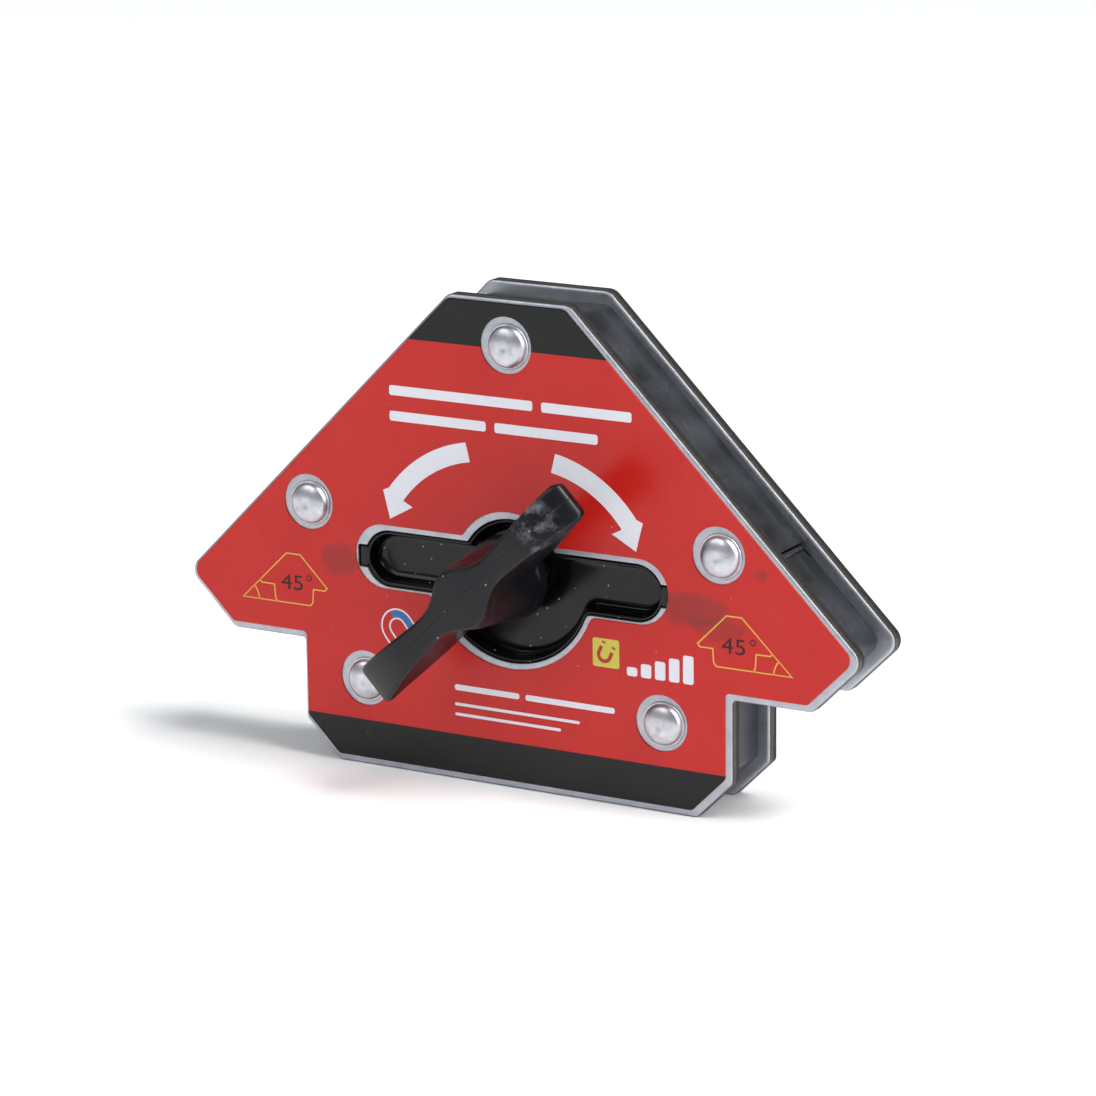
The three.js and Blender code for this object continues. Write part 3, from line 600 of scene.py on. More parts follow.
def add_magnet_sign(bm, centre, tilt, outer, inner, leg, line, layer=1):
    """A horseshoe drawn as one line, its legs towards the tilt direction."""
    middle = (outer + inner) / 2
    along = heading(tilt) * leg
    bend = arc_points(centre, middle, tilt + 90, tilt + 270, 14)
    path = [tuple(Vector(bend[0]) + along)] + bend + [tuple(Vector(bend[-1]) + along)]
    add_ink_line(bm, path, line, layer=layer)


small_sign_centre, small_sign_tilt = (21.0, 30.5), 65
pole_gap, pole_spread, pole_tip_line = 2.3, 1.2, 0.4
add_magnet_sign(red_print, small_sign_centre, small_sign_tilt, 1.7, 0.9, 1.3, 0.75, layer=2)
for side in (-1, 1):
    tip = Vector(small_sign_centre) + heading(small_sign_tilt) * pole_gap
    across = heading(small_sign_tilt + 90) * pole_spread * side
    pole_tip = [tuple(tip + across * 0.65), tuple(tip + across * 1.35)]
    add_ink_line(red_print, pole_tip, pole_tip_line, layer=2)

# A larger horseshoe sign in white outline with one blue pole, left of the lever.
sign_centre, sign_tilt, sign_line = (-26.5, 30.0), -52, 0.35
sign_outer, sign_inner, sign_leg = 3.7, 1.8, 6.5
for radius in (sign_outer, sign_inner):
    add_magnet_sign(white_print, sign_centre, sign_tilt, radius, radius, sign_leg, sign_line)
pole_inset, pole_start, pole_cut = 0.3, 118, 1.5
pole = arc_points(sign_centre, sign_outer - pole_inset, pole_start, sign_tilt + 90, 8)
pole_along = heading(sign_tilt) * (sign_leg - pole_cut)
pole_ends = [tuple(Vector(pole[-1]) + pole_along)]
inner_pole = arc_points(sign_centre, sign_inner + pole_inset, sign_tilt + 90, pole_start, 8)
pole_ends.append(tuple(Vector(inner_pole[0]) + pole_along))
add_ink(blue_print, pole + pole_ends + inner_pole)

# An outline of the holder with one corner marked, at each wing: the 45 degree angle it sets.
wing_sign = [
    (-63.5, 31.8), (-52.7, 42.2), (-49.4, 42.2), (-43.1, 35.9), (-43.6, 35.3), (-46.4, 35.3),
    (-46.6, 32.5), (-47.2, 31.8),
]
wing_notch = [(-59.4, 35.75), (-58.8, 35.35), (-55.8, 35.3), (-55.6, 32.5), (-55.2, 31.8)]
wing_arc = arc_points(wing_sign[0], 3.9, 0, 43.9, 8)
for mirror, shift in ((1, (0.0, 0.0)), (-1, (-1.5, -0.35))):
    for path, closed in ((wing_sign, True), (wing_notch, False), (wing_arc, False)):
        placed = [(mirror * x + shift[0], z + shift[1]) for x, z in path]
        add_ink_line(outline_print, placed, closed=closed)
degree_radius, degree_line = 0.55, 0.22
for centre in ((-47.4, 37.5), (53.6, 37.2)):
    add_ink_line(dark_print, outline(circle_arcs(centre, degree_radius)), degree_line, closed=True)


def add_digits(bm, words, left, foot):
    """Printed figures, from the plain built-in face."""
    curve = bpy.data.curves.new("figures", "FONT")
    curve.body = words
    curve.size = figure_size[1]
    curve.resolution_u = 4
    curve.extrude = (ink_height + ink_sink) / 2
    made = bpy.data.objects.new("figures", curve)
    mesh = bpy.data.meshes.new_from_object(made)
    figures = bmesh.new()
    figures.from_mesh(mesh)
    upright = Matrix.Translation((left * MM, (film_low.y + (ink_sink - ink_height) / 2) * MM, foot * MM))
    upright = upright @ Matrix.Rotation(math.pi / 2, 4, "X") @ Matrix.Scale(MM, 4)
    upright = upright @ Matrix.Scale(figure_size[0] / figure_size[1], 4, (1, 0, 0))
    bmesh.ops.transform(figures, matrix=upright, verts=figures.verts)
    figures.to_mesh(mesh)
    figures.free()
    bm.from_mesh(mesh)
    bpy.data.objects.remove(made)
    bpy.data.curves.remove(curve)
    bpy.data.meshes.remove(mesh)


add_digits(dark_print, "45", -54.2, 34.7)
add_digits(dark_print, "45", 46.7, 34.4)
for name, bm, colour, worn_colour in (
    ("white_print", white_print, "#dfe0e8", "#d3a9ad"), ("yellow_print", yellow_print, "#cbc04e", "#bfa84a"),
    ("outline_print", outline_print, "#d8b04a", "#c98e45"), ("blue_print", blue_print, "#2b6fb5", "#3a6aa2"),
    ("red_print", red_print, "#b02a22", "#b8503a"), ("dark_print", dark_print, "#2c060b", "#3c0c10"),
):
    piece(name, bm, "holder", [screen_ink(name + "_ink", colour, worn_colour)])


# ---- Core -------------------------------------------------------------------------------------
# Two glass-filled nylon mouldings fill the gap between the plates, one above the level of the
# switch and one below. They are dark grey with the dull sheen and flow marks of a cheap tool.

core_edge = 0.15
slope_turn = 0.785


def glass_filled_nylon():
    """Injection-moulded dark grey nylon: satin, faint flow streaks, and scratches rubbed pale down
    the slopes. Its grain is drawn coarser than the real one, so that it shows."""
    made, tree, place = start_material("glass_filled_nylon")
    stretched = add(tree, "Mapping", {"Vector": place, "Scale": (1.0, 0.35, 1.0)})[0]
    flow = add(tree, "TexNoise", {"Vector": stretched, "Scale": per(7), "Detail": 5.0})[0]
    grain = add(tree, "TexNoise", {"Vector": place, "Scale": per(0.35), "Detail": 3.0})[0]
    spread = add(tree, "MapRange", {0: flow, 1: 0.35, 2: 0.65})[0]
    mixed = add(tree, "Mix", {0: spread, 6: linear("#111216"), 7: linear("#2b2d33")}, data_type="RGBA")[2]
    drawn = add(tree, "Mapping", {"Vector": place, "Rotation": (0.0, slope_turn, 0.0),
                                  "Scale": (0.07, 1.0, 1.0)})[0]
    hair = add(tree, "TexNoise", {"Vector": drawn, "Scale": per(0.35), "Detail": 2.0})[0]
    scratch = add(tree, "MapRange", {0: hair, 1: 0.64, 2: 0.74, 3: 0.0, 4: 0.45})[0]
    scratched = add(tree, "Math", {0: scratch, 1: spread}, operation="MULTIPLY")[0]
    colour = add(tree, "Mix", {0: scratched, 6: mixed, 7: linear("#8f9298")}, data_type="RGBA")[2]
    rough = add(tree, "MapRange", {0: flow, 1: 0.3, 2: 0.7, 3: 0.3, 4: 0.5})[0]
    finish_material(tree, (0.3, 0.03, grain), Base_Color=colour, Roughness=rough, IOR=1.53)
    return made


def eased_copy(node, edge):
    """A CAD node's own shape with its facets merged and its sharp edges eased."""
    bm = bmesh.new()
    bm.from_mesh(frame["nodes"][node].data)
    bmesh.ops.remove_doubles(bm, verts=bm.verts, dist=1e-6)
    bmesh.ops.dissolve_limit(bm, angle_limit=math.radians(0.5), verts=bm.verts, edges=bm.edges)
    sharp = [e for e in bm.edges if e.is_manifold and e.calc_face_angle() > math.radians(35)]
    bmesh.ops.bevel(bm, geom=sharp, offset=edge * MM, segments=2, profile=0.5,
                    affect="EDGES", clamp_overlap=True)
    return bm


nylon_core = glass_filled_nylon()
for name in ("upper_core", "lower_core"):
    piece(name, eased_copy(name, core_edge), "holder", [nylon_core], [name])


# ---- Well -------------------------------------------------------------------------------------
# A glossy black ABS tray lines the keyhole, so that chips can't reach the magnets. It is pushed in
# from the front and snaps over the plate with a tab at each end of the slot.

well_clearance = 0.08
well_wall = 0.7
well_fillet = 1.7
well_floor = 4.0
well_bottom = 5.5
well_lip = 0.3
well_draft = 0.15
snap_gap = 0.06
snap_overlap = 0.35
snap_end_gap = 0.25
snap_side_gap = 0.15
snap_corner_radius = 0.3
snap_seat = 0.2
spindle_bore = 3.3
hair_turn = 0.6


def dust(tree, place, pitch, rarity, strength, size):
    """Where dust lies: one round speck in some cells of a pattern of the given pitch in mm. The
    specks are larger than real ones, so that they show."""
    cell = add(tree, "TexVoronoi", {"Vector": place, "Scale": per(pitch)})
    chosen = add(tree, "SeparateColor", {0: cell["Color"]})[0]
    few = add(tree, "MapRange", {0: chosen, 1: rarity, 2: 0.6, 3: 0.0, 4: strength})[0]
    speck = add(tree, "MapRange", {0: cell["Distance"], 1: size, 2: size - 0.05})[0]
    return add(tree, "Math", {0: few, 1: speck}, operation="MULTIPLY")[0]


def polished_abs():
    """Black ABS from a polished tool: deep and glossy, with white dust specks and hair scratches."""
    made, tree, place = start_material("polished_black_abs")
    dusty = dust(tree, place, 2.2, 0.45, 0.9, 0.11)
    haze = add(tree, "TexNoise", {"Vector": place, "Scale": per(6), "Detail": 5.0, "Roughness": 0.65})[0]
    rubbed = add(tree, "Mapping", {"Vector": place, "Rotation": (0.0, hair_turn, 0.0),
                                   "Scale": (0.12, 1.0, 1.0)})[0]
    hair = add(tree, "TexNoise", {"Vector": rubbed, "Scale": per(0.25), "Detail": 2.0})[0]
    scratch = add(tree, "MapRange", {0: hair, 1: 0.68, 2: 0.76, 3: 0.0, 4: 0.12})[0]
    smooth = add(tree, "MapRange", {0: haze, 1: 0.3, 2: 0.7, 3: 0.14, 4: 0.26})[0]
    rough = add(tree, "Math", {0: smooth, 1: scratch}, operation="ADD")[0]
    mixed = add(tree, "Mix", {0: dusty, 6: linear("#060609"), 7: linear("#b9b8b5")}, data_type="RGBA")[2]
    finish_material(tree, (0.08, 0.05, haze), Base_Color=mixed, Roughness=rough, IOR=1.38)
    return made


rim_depth = node_box("switch_well")[0].y

# The tray is one skin, from outside the wall, over the rim, down the pocket and across the floor.
well = bmesh.new()
lip_steps = []
for degrees in (0, 30, 60, 90, 120, 150, 180):
    angle = math.radians(degrees)
    lip_steps.append((well_wall / 2 * (1 - math.cos(angle)), rim_depth + well_lip * (1 - math.sin(angle))))
fillet_steps = []
for degrees in (0, 15, 30, 45, 60, 75, 90):
    angle = math.radians(degrees)
    fillet_steps.append((well_wall + well_draft + well_fillet * (1 - math.cos(angle)),
                         well_floor - well_fillet * (1 - math.sin(angle))))
floor_land = [(well_wall + well_draft + well_fillet + land_width, well_floor)]
skin_steps = [(0, well_bottom)] + lip_steps + fillet_steps + floor_land
outer = keyhole_arcs(-well_clearance)
rings = [add_ring(well, outline(outer, -inset), depth) for inset, depth in skin_steps]
skin_rings(well, rings)
bore_arcs = circle_arcs((0, axis_height), spindle_bore)
bore = [add_ring(well, outline(bore_arcs, grow), depth)
        for grow, depth in ((0.6, well_floor), (0.2, well_floor), (0, well_floor + 0.2), (0, well_bottom))]
skin_rings(well, bore)
cap(well, [rings[-1], bore[0]])
cap(well, [rings[0], bore[-1]])
for side in (-1, 1):
    near_edge = slot_half_length - well_clearance - snap_overlap + snap_gap
    far_edge = slot_half_length + tab_length - snap_end_gap
    half = tab_half_height - snap_side_gap
    block = [(near_edge, axis_height + half), (far_edge, axis_height + half),
             (far_edge, axis_height - half), (near_edge, axis_height - half)]
    arcs = corner_arcs(block, (snap_corner_radius,) * 4)
    steps = [(0.25, rim_depth), (0.07, rim_depth + 0.07), (0, rim_depth + 0.25),
             (0, front_high.y + snap_seat)]
    loops = []
    for inset, depth in steps:
        loops.append(add_ring(well, [(side * x, z) for x, z in outline(arcs, -inset)], depth))
    skin_rings(well, loops)
    cap(well, [loops[0]])
    cap(well, [loops[-1]])
piece("switch_well", well, "holder", [polished_abs()], ["switch_well"])


# ---- Lever ------------------------------------------------------------------------------------
# One black ABS moulding, pressed on the spindle: two finger arms that are crowned at their ends and
# undercut, a diamond hub that flares to a round skirt, and a boss down to the floor of the well.

lever_angle = 44
lever_half_length = 31.3
lever_height = 20.5
lever_flat = 17
lever_tip_drop = 4
arm_root = 1.7
arm_taper = 0.09
hub_swell = 4.6
hub_spread = 5.5
skirt_top_height = 17
skirt_top_radius = 6.2
skirt_foot_height = 1
skirt_foot_radius = 8.7
boss_radius = 5.8
boss_foot_depth = 3.6
lever_edge = 0.8
tip_crown = 2.6
tip_corner = 2.0
half_turn_steps = 36
face_top_height = 19.4
face_ring_step = 0.2
undercut_top_height = 18.2
undercut_foot_height = 3.3
undercut_rings = 26
undercut_reach = ((18.4, lever_half_length), (15.6, 28.5), (10.26, 24), (6.8, 20), (4.8, 16),
                  (3.6, 11.5), (3.2, 9.2))


def tip_fall(along):
    past = max(0.0, abs(along) - lever_flat) / (lever_half_length - lever_flat)
    return lever_tip_drop * past ** 2


def arm_half_width(along):
    return arm_root + arm_taper * abs(along) + hub_swell * math.exp(-((along / hub_spread) ** 2))


def skirt_radius(height):
    share = (skirt_top_height - height) / (skirt_top_height - skirt_foot_height)
    return skirt_top_radius + (skirt_foot_radius - skirt_top_radius) * min(max(share, 0.0), 1.0)


def skirt_half_width(along, height):
    if height > skirt_top_height + 1:
        return 0.0
    return math.sqrt(max(skirt_radius(height) ** 2 - along ** 2, 0.0))


def lever_half_width(along, height, length, has_arms):
    round_half = skirt_half_width(along, height)
    if not has_arms:
        return round_half
    into_tip = max(0.0, abs(along) - (length - tip_corner)) / tip_corner
    corner = tip_corner * (1 - math.sqrt(max(1 - into_tip ** 2, 0.0)))
    arm = arm_half_width(along) - corner * 0.8
    return (round_half ** 7 + arm ** 7) ** (1 / 7)


def lever_ring(bm, height, length, inset=0.0, has_arms=True):
    """The lever's outline at a height, with its crowned ends let down by the same fall as its face."""
    sides = {1: [], -1: []}
    for step in range(-half_turn_steps, half_turn_steps + 1):
        along = (length - inset) * math.sin(math.pi / 2 * step / half_turn_steps)
        half = max(lever_half_width(along, height, length, has_arms) - inset, 0.02)
        fall = tip_fall(along) if has_arms else 0.0
        for side in sides:
            sides[side].append((along, side * half, height - fall))
    points = sides[1] + sides[-1][::-1]
    turn = math.radians(lever_angle)
    ring = []
    for along, across, level in points:
        x = along * math.cos(turn) - across * math.sin(turn)
        z = along * math.sin(turn) + across * math.cos(turn)
        ring.append(bm.verts.new((x * MM, -level * MM, (z + axis_height) * MM)))
    return ring


def underside_length(height):
    """How far the arms reach at a height, down the undercut that the fingers go behind."""
    for (high, far), (low, near) in zip(undercut_reach, undercut_reach[1:]):
        if height >= low:
            return near + (far - near) * min((height - low) / (high - low), 1.0)
    return undercut_reach[-1][1]


def satin_abs():
    """Black ABS from a blasted tool: a slate-black satin that mirrors the red film along its sides,
    rubbed pale where fingers press at the crowned ends, with the mould's parting line along it."""
    made, tree, place = start_material("satin_black_abs")
    from_axis = add(tree, "VectorMath", {0: place, 1: (0.0, 0.0, axis_height * MM)}, operation="SUBTRACT")[0]
    in_line = add(tree, "VectorRotate", {"Vector": from_axis, "Axis": (0.0, 1.0, 0.0),
                                        "Angle": math.radians(lever_angle)}, rotation_type="AXIS_ANGLE")[0]
    parts = add(tree, "SeparateXYZ", {0: in_line})
    along = parts["X"]
    across = add(tree, "Math", {0: parts["Z"]}, operation="ABSOLUTE")[0]
    end_from = add(tree, "MapRange", {0: along, 1: 19.0 * MM, 2: 21.0 * MM})[0]
    end_to = add(tree, "MapRange", {0: along, 1: 26.0 * MM, 2: 28.5 * MM, 3: 1.0, 4: 0.0})[0]
    pad = add(tree, "Math", {0: end_from, 1: end_to}, operation="MULTIPLY")[0]
    front = add(tree, "MapRange", {0: parts["Y"], 1: -15.2 * MM, 2: -16.4 * MM})[0]
    pressed = add(tree, "Math", {0: pad, 1: front}, operation="MULTIPLY")[0]
    blotch = add(tree, "TexNoise", {"Vector": place, "Scale": per(2.6), "Detail": 7.0, "Roughness": 0.68})[0]
    patchy = add(tree, "MapRange", {0: blotch, 1: 0.46, 2: 0.68})[0]
    scuff = add(tree, "Math", {0: pressed, 1: patchy}, operation="MULTIPLY")[0]
    dusty = dust(tree, place, 2.3, 0.5, 0.8, 0.1)
    base = add(tree, "Mix", {0: scuff, 6: linear("#0a0a10"), 7: linear("#6a6b72")}, data_type="RGBA")[2]
    colour = add(tree, "Mix", {0: dusty, 6: base, 7: linear("#b4b3b0")}, data_type="RGBA")[2]
    haze = add(tree, "TexNoise", {"Vector": place, "Scale": per(5), "Detail": 5.0, "Roughness": 0.6})[0]
    smooth = add(tree, "MapRange", {0: haze, 1: 0.3, 2: 0.7, 3: 0.28, 4: 0.42})[0]
    line_wander = add(tree, "MapRange", {0: haze, 3: -0.25 * MM, 4: 0.25 * MM})[0]
    from_line = add(tree, "Math", {0: across, 1: line_wander}, operation="ADD")[0]
    parting = add(tree, "MapRange", {0: from_line, 1: 0.16 * MM, 2: 0.04 * MM})[0]
    grain = add(tree, "TexNoise", {"Vector": place, "Scale": per(0.4), "Detail": 3.0})[0]
    fine = add(tree, "Math", {0: grain, 1: 0.35}, operation="MULTIPLY")[0]
    height = add(tree, "Math", {0: parting, 1: 1.6, 2: fine}, operation="MULTIPLY_ADD")[0]
    finish_material(tree, (0.5, 0.05, height), Base_Color=colour, Roughness=smooth, IOR=1.38)
    return made


lever = bmesh.new()
lever_rings = []
for degrees in (90, 75, 60, 45, 30, 15, 0):
    angle = math.radians(degrees)
    drop = lever_edge * (1 - math.sin(angle))
    inset = lever_edge * (1 - math.cos(angle))
    crown = tip_crown * (1 - math.cos(angle))
    lever_rings.append(lever_ring(lever, lever_height - drop, lever_half_length - crown + inset, inset))
for step in range(6):
    lever_rings.append(lever_ring(lever, face_top_height - step * face_ring_step, lever_half_length))
undercut_depth = undercut_top_height - undercut_foot_height
for step in range(undercut_rings):
    height = undercut_top_height - undercut_depth * (step / (undercut_rings - 1)) ** 0.9
    lever_rings.append(lever_ring(lever, height, underside_length(height)))
for height in (3.0, 2.4, 1.8, 1.3, skirt_foot_height):
    lever_rings.append(lever_ring(lever, height, skirt_radius(height), has_arms=False))
boss_grow = boss_radius - skirt_foot_radius
for grow, height in ((-0.25, skirt_foot_height - 0.25), (boss_grow + 0.3, 0.15),
                     (boss_grow, -0.1), (boss_grow, -boss_foot_depth)):
    lever_rings.append(lever_ring(lever, height, skirt_foot_radius, inset=-grow, has_arms=False))
skin_rings(lever, lever_rings)
count = 2 * half_turn_steps + 1
for ring in (lever_rings[0], lever_rings[-1]):
    for i in range(count - 1):
        lever.faces.new((ring[i], ring[i + 1], ring[2 * count - 2 - i], ring[2 * count - 1 - i]))
piece("lever_knob", lever, "switch", [satin_abs()], ["lever_knob"], smooth_below=50)


# ---- Rivets -----------------------------------------------------------------------------------
# Five zinc-plated steel rivets clamp the stack. Each has a domed head in front, dimpled where the
# tool held it, and a lower dome formed behind. A steel sleeve on each shank keeps the plates apart.

head_radius = 4.6
head_height = 2.2
head_lip = 0.5
head_brim = 0.4
shank_radius = 2.5
tail_radius = 4.0
tail_height = 1.5
sleeve_inner = 2.8
sleeve_outer = 4.0
turning_steps = 64
dimple_depth = 0.22
dimple_spread = 0.9
head_fullness = 2.1
dome_steps = 16
tail_lip = 0.25
tail_fullness = 2.4
tail_steps = 10


def turned(bm, profile, centre_x=0.0, centre_z=None, steps=turning_steps):
    """A body turned about a line across the plates, from (radius, depth) points. A profile that
    doesn't start on the axis closes on itself as a ring."""
    z = axis_height if centre_z is None else centre_z
    rings = []
    for radius, depth in profile:
        points = [(centre_x + radius * math.cos(2 * math.pi * i / steps),
                   z + radius * math.sin(2 * math.pi * i / steps)) for i in range(steps)]
        rings.append(add_ring(bm, points if radius > 0 else [(centre_x, z)], depth))
    pairs = list(zip(rings, rings[1:]))
    if profile[0][0] > 0:
        pairs.append((rings[-1], rings[0]))
    for near, far in pairs:
        for i in range(steps):
            j = (i + 1) % steps
            corners = [near[i % len(near)], near[j % len(near)], far[j % len(far)], far[i % len(far)]]
            bm.faces.new(list(dict.fromkeys(corners)))


def eased_profile(points, radius=0.2, steps=3):
    """A (radius, depth) profile with its corners eased, apart from those on the axis."""
    eased = []
    count = len(points)
    on_axis = points[0][0] == 0
    for i, point in enumerate(points):
        if on_axis and i in (0, count - 1):
            eased.append(point)
            continue
        here = Vector(point)
        before = Vector(points[i - 1]) - here
        after = Vector(points[(i + 1) % count]) - here
        reach = min(radius, before.length * 0.4, after.length * 0.4)
        start, end = here + before.normalized() * reach, here + after.normalized() * reach
        for step in range(steps + 1):
            t = step / steps
            eased.append(tuple(start * (1 - t) ** 2 + here * 2 * t * (1 - t) + end * t ** 2))
    return eased


def rivet_zinc():
    """Barrel-plated zinc on a cold-formed head: bright but blotchy, with small dark tool marks."""
    made, tree, place = start_material("barrel_plated_zinc")
    blotch = add(tree, "TexNoise", {"Vector": place, "Scale": per(2.2), "Detail": 6.0, "Roughness": 0.65})[0]
    grain = add(tree, "TexNoise", {"Vector": place, "Scale": per(0.4), "Detail": 3.0})[0]
    marks = add(tree, "MapRange", {0: blotch, 1: 0.34, 2: 0.28, 3: 0.0, 4: 0.4})[0]
    tone = add(tree, "MapRange", {0: blotch, 1: 0.3, 2: 0.7})[0]
    mixed = add(tree, "Mix", {0: tone, 6: linear("#aeaeb4"), 7: linear("#cfcfd5")}, data_type="RGBA")[2]
    colour = add(tree, "Mix", {0: marks, 6: mixed, 7: linear("#6c6a6d")}, data_type="RGBA")[2]
    rough = add(tree, "MapRange", {0: blotch, 1: 0.3, 2: 0.7, 3: 0.42, 4: 0.3})[0]
    finish_material(tree, (0.25, 0.03, grain), Base_Color=colour, Metallic=1.0, Roughness=rough)
    return made


def bar_steel():
    """Cold-drawn bar, turned: grey metal with rings from the tool, coarser than real ones."""
    made, tree, place = start_material("turned_bar_steel")
    lines = add(tree, "Mapping", {"Vector": place, "Scale": (0.2, 1.0, 0.2)})[0]
    rings = add(tree, "TexNoise", {"Vector": lines, "Scale": per(0.25), "Detail": 2.0})[0]
    cloud = add(tree, "TexNoise", {"Vector": place, "Scale": per(3), "Detail": 4.0})[0]
    colour = add(tree, "Mix", {0: cloud, 6: linear("#77797d"), 7: linear("#a3a5a9")}, data_type="RGBA")[2]
    rough = add(tree, "MapRange", {0: cloud, 1: 0.3, 2: 0.7, 3: 0.28, 4: 0.42})[0]
    finish_material(tree, (0.3, 0.02, rings), Base_Color=colour, Metallic=1.0, Roughness=rough)
    return made


rivet_finish = rivet_zinc()
steel = bar_steel()
rivet_seat = front_low.y
stack_back = rear_high.y
dome = []
for step in range(dome_steps + 1):
    share = step / dome_steps
    radius = (head_radius - head_brim) * share
    dimple = dimple_depth * math.exp(-((radius / dimple_spread) ** 2))
    height = head_lip + (head_height - head_lip) * math.sqrt(max(1 - share ** head_fullness, 0.0))
    dome.append((radius, rivet_seat - height + dimple))
tail_dome = []
for step in range(tail_steps + 1):
    share = 1 - step / tail_steps
    height = tail_lip + (tail_height - tail_lip) * math.sqrt(max(1 - share ** tail_fullness, 0.0))
    tail_dome.append((tail_radius * share, stack_back + height))
brim = [
    (head_radius - head_brim * 0.9, rivet_seat - head_lip * 0.75),
    (head_radius - 0.12, rivet_seat - head_lip * 0.8),
    (head_radius, rivet_seat - head_lip * 0.5), (head_radius - 0.05, rivet_seat),
]
rivet_profile = dome + brim + [(shank_radius, rivet_seat), (shank_radius, stack_back),
                        (tail_radius, stack_back)] + tail_dome
sleeve_profile = eased_profile([(sleeve_inner, front_high.y), (sleeve_outer, front_high.y),
                                (sleeve_outer, rear_low.y), (sleeve_inner, rear_low.y)])
for corner, spot in zip(rivet_corners, rivet_places):
    rivet = bmesh.new()
    turned(rivet, rivet_profile, spot.x, spot.z)
    piece(f"rivet_{corner}", rivet, "holder", [rivet_finish], [f"rivet_{corner}"])
    sleeve = bmesh.new()
    turned(sleeve, sleeve_profile, spot.x, spot.z)
    name = f"rivet_sleeve_{corner}"
    piece(name, sleeve, "holder", [steel], [name])


# ---- Spindle and its bearings -----------------------------------------------------------------
# A steel spindle runs from the lever through the well and the magnets to a brass bush in the rear
# plate, where a spring clip holds it. A cross pin drives the carrier and a nylon washer takes wear.

bush_bore = 3.15


def clouded_metal(name, patch, dark, light, rough_low, rough_high, relief):
    """A plain metal whose tone and gloss drift in soft patches, patch millimetres across."""
    made, tree, place = start_material(name)
    cloud = add(tree, "TexNoise", {"Vector": place, "Scale": per(patch), "Detail": 4.0})[0]
    colour = add(tree, "Mix", {0: cloud, 6: linear(dark), 7: linear(light)}, data_type="RGBA")[2]
    rough = add(tree, "MapRange", {0: cloud, 1: 0.3, 2: 0.7, 3: rough_low, 4: rough_high})[0]
    finish_material(tree, (relief, 0.02, cloud), Base_Color=colour, Metallic=1.0, Roughness=rough)
    return made


def natural_nylon():
    """Natural nylon: milky off-white, waxy, faintly mottled."""
    made, tree, place = start_material("natural_nylon")
    cloud = add(tree, "TexNoise", {"Vector": place, "Scale": per(2), "Detail": 3.0})[0]
    colour = add(tree, "Mix", {0: cloud, 6: linear("#cfcbbf"), 7: linear("#e2dfd6")}, data_type="RGBA")[2]
    finish_material(tree, (0.15, 0.02, cloud), Base_Color=colour, Roughness=0.45, IOR=1.53)
    return made


def ring_part(name, bore_radius, body, finish, ease=0.2, steps=turning_steps):
    """A flat ring with eased corners, at the place and outer size of its CAD node."""
    low, high = node_box(name)
    outer_radius = (high.x - low.x) / 2
    section = [(bore_radius, low.y), (outer_radius, low.y), (outer_radius, high.y), (bore_radius, high.y)]
    bm = bmesh.new()
    turned(bm, eased_profile(section, ease), steps=steps)
    piece(name, bm, body, [finish], [name])


# Free-cutting brass, turned: warm yellow metal, slightly dulled.
brass = clouded_metal("turned_brass", 2, "#8f6f35", "#c7a25c", 0.25, 0.4, 0.2)
ring_part("spindle_bush", bush_bore, "holder", brass)
ring_part("thrust_washer", spindle_bore, "holder", natural_nylon())
for name, edge in (("spindle", 0.2), ("cross_pin", 0.15), ("retaining_clip", 0.12)):
    piece(name, eased_copy(name, edge), "switch", [steel], [name])
piece("rotor_carrier", eased_copy("rotor_carrier", 0.12), "switch", [brass], ["rotor_carrier"])


# ---- Magnets and pole shoes -------------------------------------------------------------------
# Two ring magnets magnetised across their width: the front one turns with the lever, the rear one
# is fixed. Two steel shoes round them carry the flux, one to the front plate and one to the rear.

magnet_bore = 4.9
magnet_ease = 0.4
magnet_steps = 96

# Bright nickel plating on sintered magnet: warm and nearly a mirror.
nickel = clouded_metal("nickel_plated_magnet", 4, "#a8a7a4", "#c9c7c2", 0.14, 0.26, 0.1)
for name, body in (("rotor_magnet", "switch"), ("fixed_magnet", "holder")):
    ring_part(name, magnet_bore, body, nickel, magnet_ease, magnet_steps)
for name in ("left_pole_shoe", "right_pole_shoe"):
    piece(name, eased_copy(name, 0.25), "holder", [steel], [name])


# ---- Detent -----------------------------------------------------------------------------------
# A steel ball in the upper core, pressed on the carrier's rim by a small coil spring of drawn wire,
# clicks past a pair of humps at each end of the lever's travel. The spring shortens as it rises.

ball_radius = 1.5
ball_bands = 24
spring_turns = 5
spring_wire_radius = 0.25
spring_wire_sides = 10
spring_steps_per_turn = 24

ball_low, ball_high = node_box("detent_ball")
ball_centre = (ball_low + ball_high) / 2
ball_profile = []
for band in range(ball_bands + 1):
    angle = math.pi * band / ball_bands
    radius = ball_radius * math.sin(angle) if 0 < band < ball_bands else 0
    ball_profile.append((radius, ball_centre.y - ball_radius * math.cos(angle)))
ball = bmesh.new()
turned(ball, ball_profile, ball_centre.x, ball_centre.z, steps=2 * ball_bands)
piece("detent_ball", ball, "detent", [steel], ["detent_ball"])

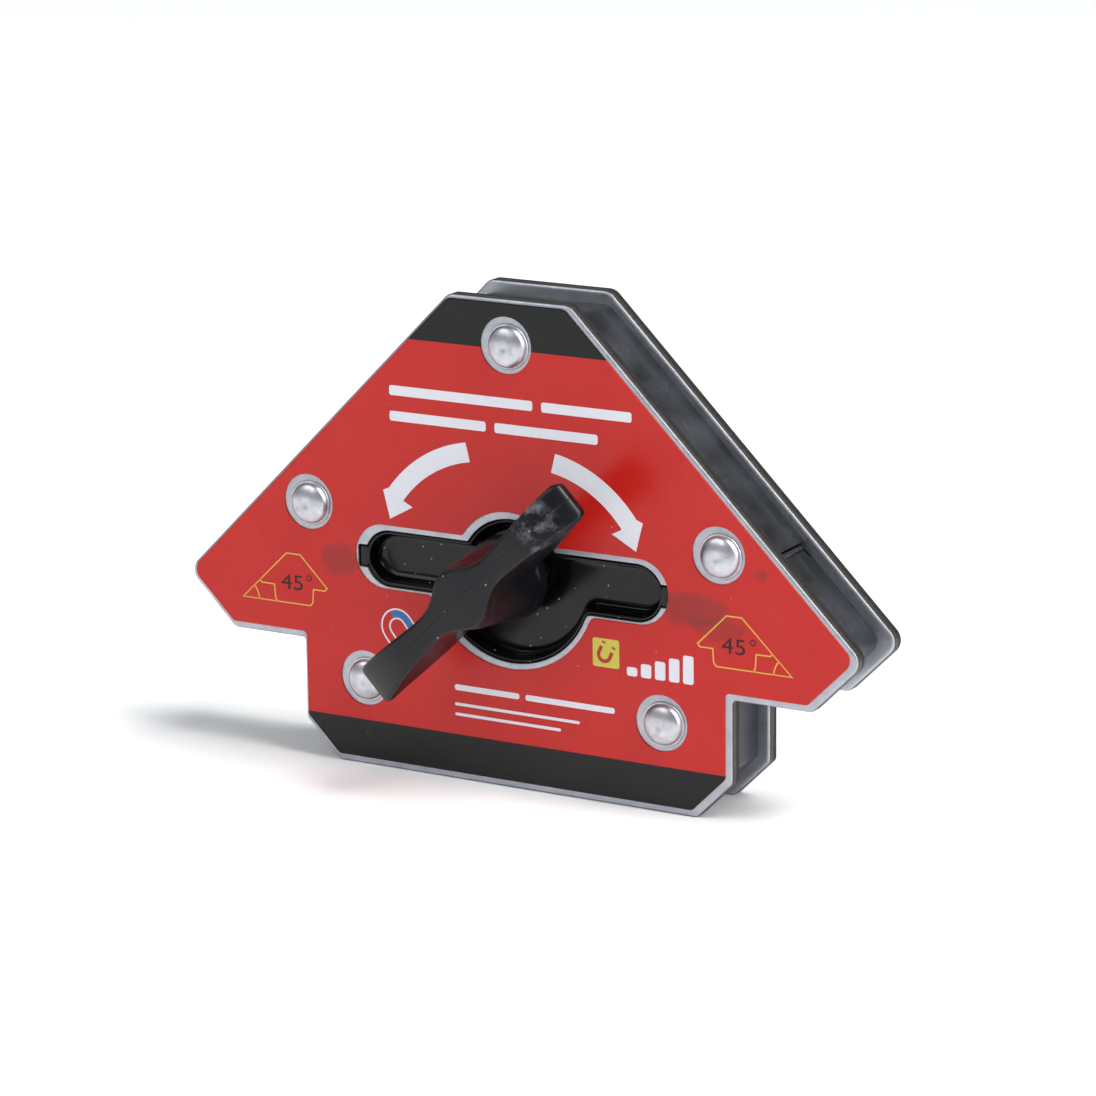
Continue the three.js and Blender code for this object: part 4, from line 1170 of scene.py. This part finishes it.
spring_low, spring_high = node_box("detent_spring")
spring_foot = (spring_low + spring_high) / 2
spring_foot.z = spring_low.z + spring_wire_radius
coil_radius = (spring_high.x - spring_low.x) / 2 - spring_wire_radius
coil_length = spring_high.z - spring_low.z - 2 * spring_wire_radius
spring_steps = spring_turns * spring_steps_per_turn
spring = bmesh.new()
sections = []
for step in range(spring_steps + 1):
    angle = 2 * math.pi * step / spring_steps_per_turn
    outward = Vector((math.cos(angle), -math.sin(angle), 0.0))
    middle = spring_foot + outward * coil_radius + Vector((0.0, 0.0, coil_length * step / spring_steps))
    section = []
    for side in range(spring_wire_sides):
        round_wire = 2 * math.pi * side / spring_wire_sides
        across = outward * math.cos(round_wire) + Vector((0.0, 0.0, math.sin(round_wire)))
        section.append(spring.verts.new((middle + across * spring_wire_radius) * MM))
    sections.append(section)
skin_rings(spring, sections)
spring.faces.new(sections[0])
spring.faces.new(sections[-1])
coil = piece("detent_spring", spring, "holder", [steel], ["detent_spring"])
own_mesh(coil)


# ---- Floor, light and camera ------------------------------------------------------------------
# A sheet of matt white card lies under the holder. A soft high lamp from the right is the key, one
# beside it lights the plates' edges, and a wide one fills the front.

floor_size = 6.0
look_at = Vector((8.41, 0.0, 50.52))
view_yaw = 29.955
view_pitch = 14.695
view_roll = -0.697
view_distance = 861.7
lens_mm = 144.6
sensor_mm = 36.0


def white_paper():
    """Matt white card: even, faintly uneven in tone."""
    made, tree, place = start_material("white_paper")
    cloud = add(tree, "TexNoise", {"Vector": place, "Scale": per(300), "Detail": 2.0})[0]
    colour = add(tree, "Mix", {0: cloud, 6: linear("#fafafa"), 7: linear("#fdfdfd")}, data_type="RGBA")[2]
    finish_material(tree, Base_Color=colour, Roughness=0.9)
    return made


floor_mesh = bmesh.new()
bmesh.ops.create_grid(floor_mesh, x_segments=4, y_segments=4, size=floor_size / 2)
floor_data = bpy.data.meshes.new("floor")
floor_mesh.to_mesh(floor_data)
floor_mesh.free()
floor = bpy.data.objects.new("floor", floor_data)
floor.location.z = cad_box[0].z
floor_data.materials.append(white_paper())
bpy.context.scene.collection.objects.link(floor)


def lamp(name, direction, distance, size, watts, colour="#ffffff"):
    """A soft square lamp, at a distance in a direction from the object, facing it."""
    light = bpy.data.lights.new(name, "AREA")
    light.shape = "RECTANGLE"
    light.size, light.size_y = size
    light.energy = watts
    light.color = linear(colour)[:3]
    made = bpy.data.objects.new(name, light)
    away = Vector(direction).normalized()
    made.location = look_at * MM + away * distance
    made.rotation_euler = away.to_track_quat("Z", "Y").to_euler()
    bpy.context.scene.collection.objects.link(made)
    return made


key = bpy.data.lights.new("key_lamp", "SUN")
key.energy = 2.25
key.angle = math.radians(28)
key_lamp = bpy.data.objects.new("key_lamp", key)
key_lamp.rotation_euler = Vector((0.50, 0.05, 0.85)).to_track_quat("Z", "Y").to_euler()
bpy.context.scene.collection.objects.link(key_lamp)
lamp("side_lamp", (0.9, -0.08, 0.5), 1.3, (0.7, 1.2), 13)
lamp("fill_lamp", (-0.5, -0.8, 0.9), 1.8, (1.5, 1.2), 11)
world = bpy.data.worlds.new("studio")
world.use_nodes = True
world.node_tree.nodes["Background"].inputs["Color"].default_value = linear("#e9edf2")
world.node_tree.nodes["Background"].inputs["Strength"].default_value = 0.33
bpy.context.scene.world = world
bpy.context.scene.view_settings.view_transform = "Standard"

yaw, pitch, roll = (math.radians(angle) for angle in (view_yaw, view_pitch, view_roll))
back = Vector((math.sin(yaw) * math.cos(pitch), -math.cos(yaw) * math.cos(pitch), math.sin(pitch)))
right = Vector((math.cos(yaw), math.sin(yaw), 0.0))
up = back.cross(right)
rolled_right = right * math.cos(roll) + up * math.sin(roll)
rolled_up = up * math.cos(roll) - right * math.sin(roll)
camera_data = bpy.data.cameras.new("camera")
camera_data.lens = lens_mm
camera_data.sensor_width = sensor_mm
camera_data.clip_end = 20.0
camera = bpy.data.objects.new("camera", camera_data)
pose = Matrix((rolled_right, rolled_up, back)).transposed().to_4x4()
pose.translation = look_at * MM + back * view_distance * MM
camera.matrix_world = pose
bpy.context.scene.collection.objects.link(camera)
bpy.context.scene.camera = camera
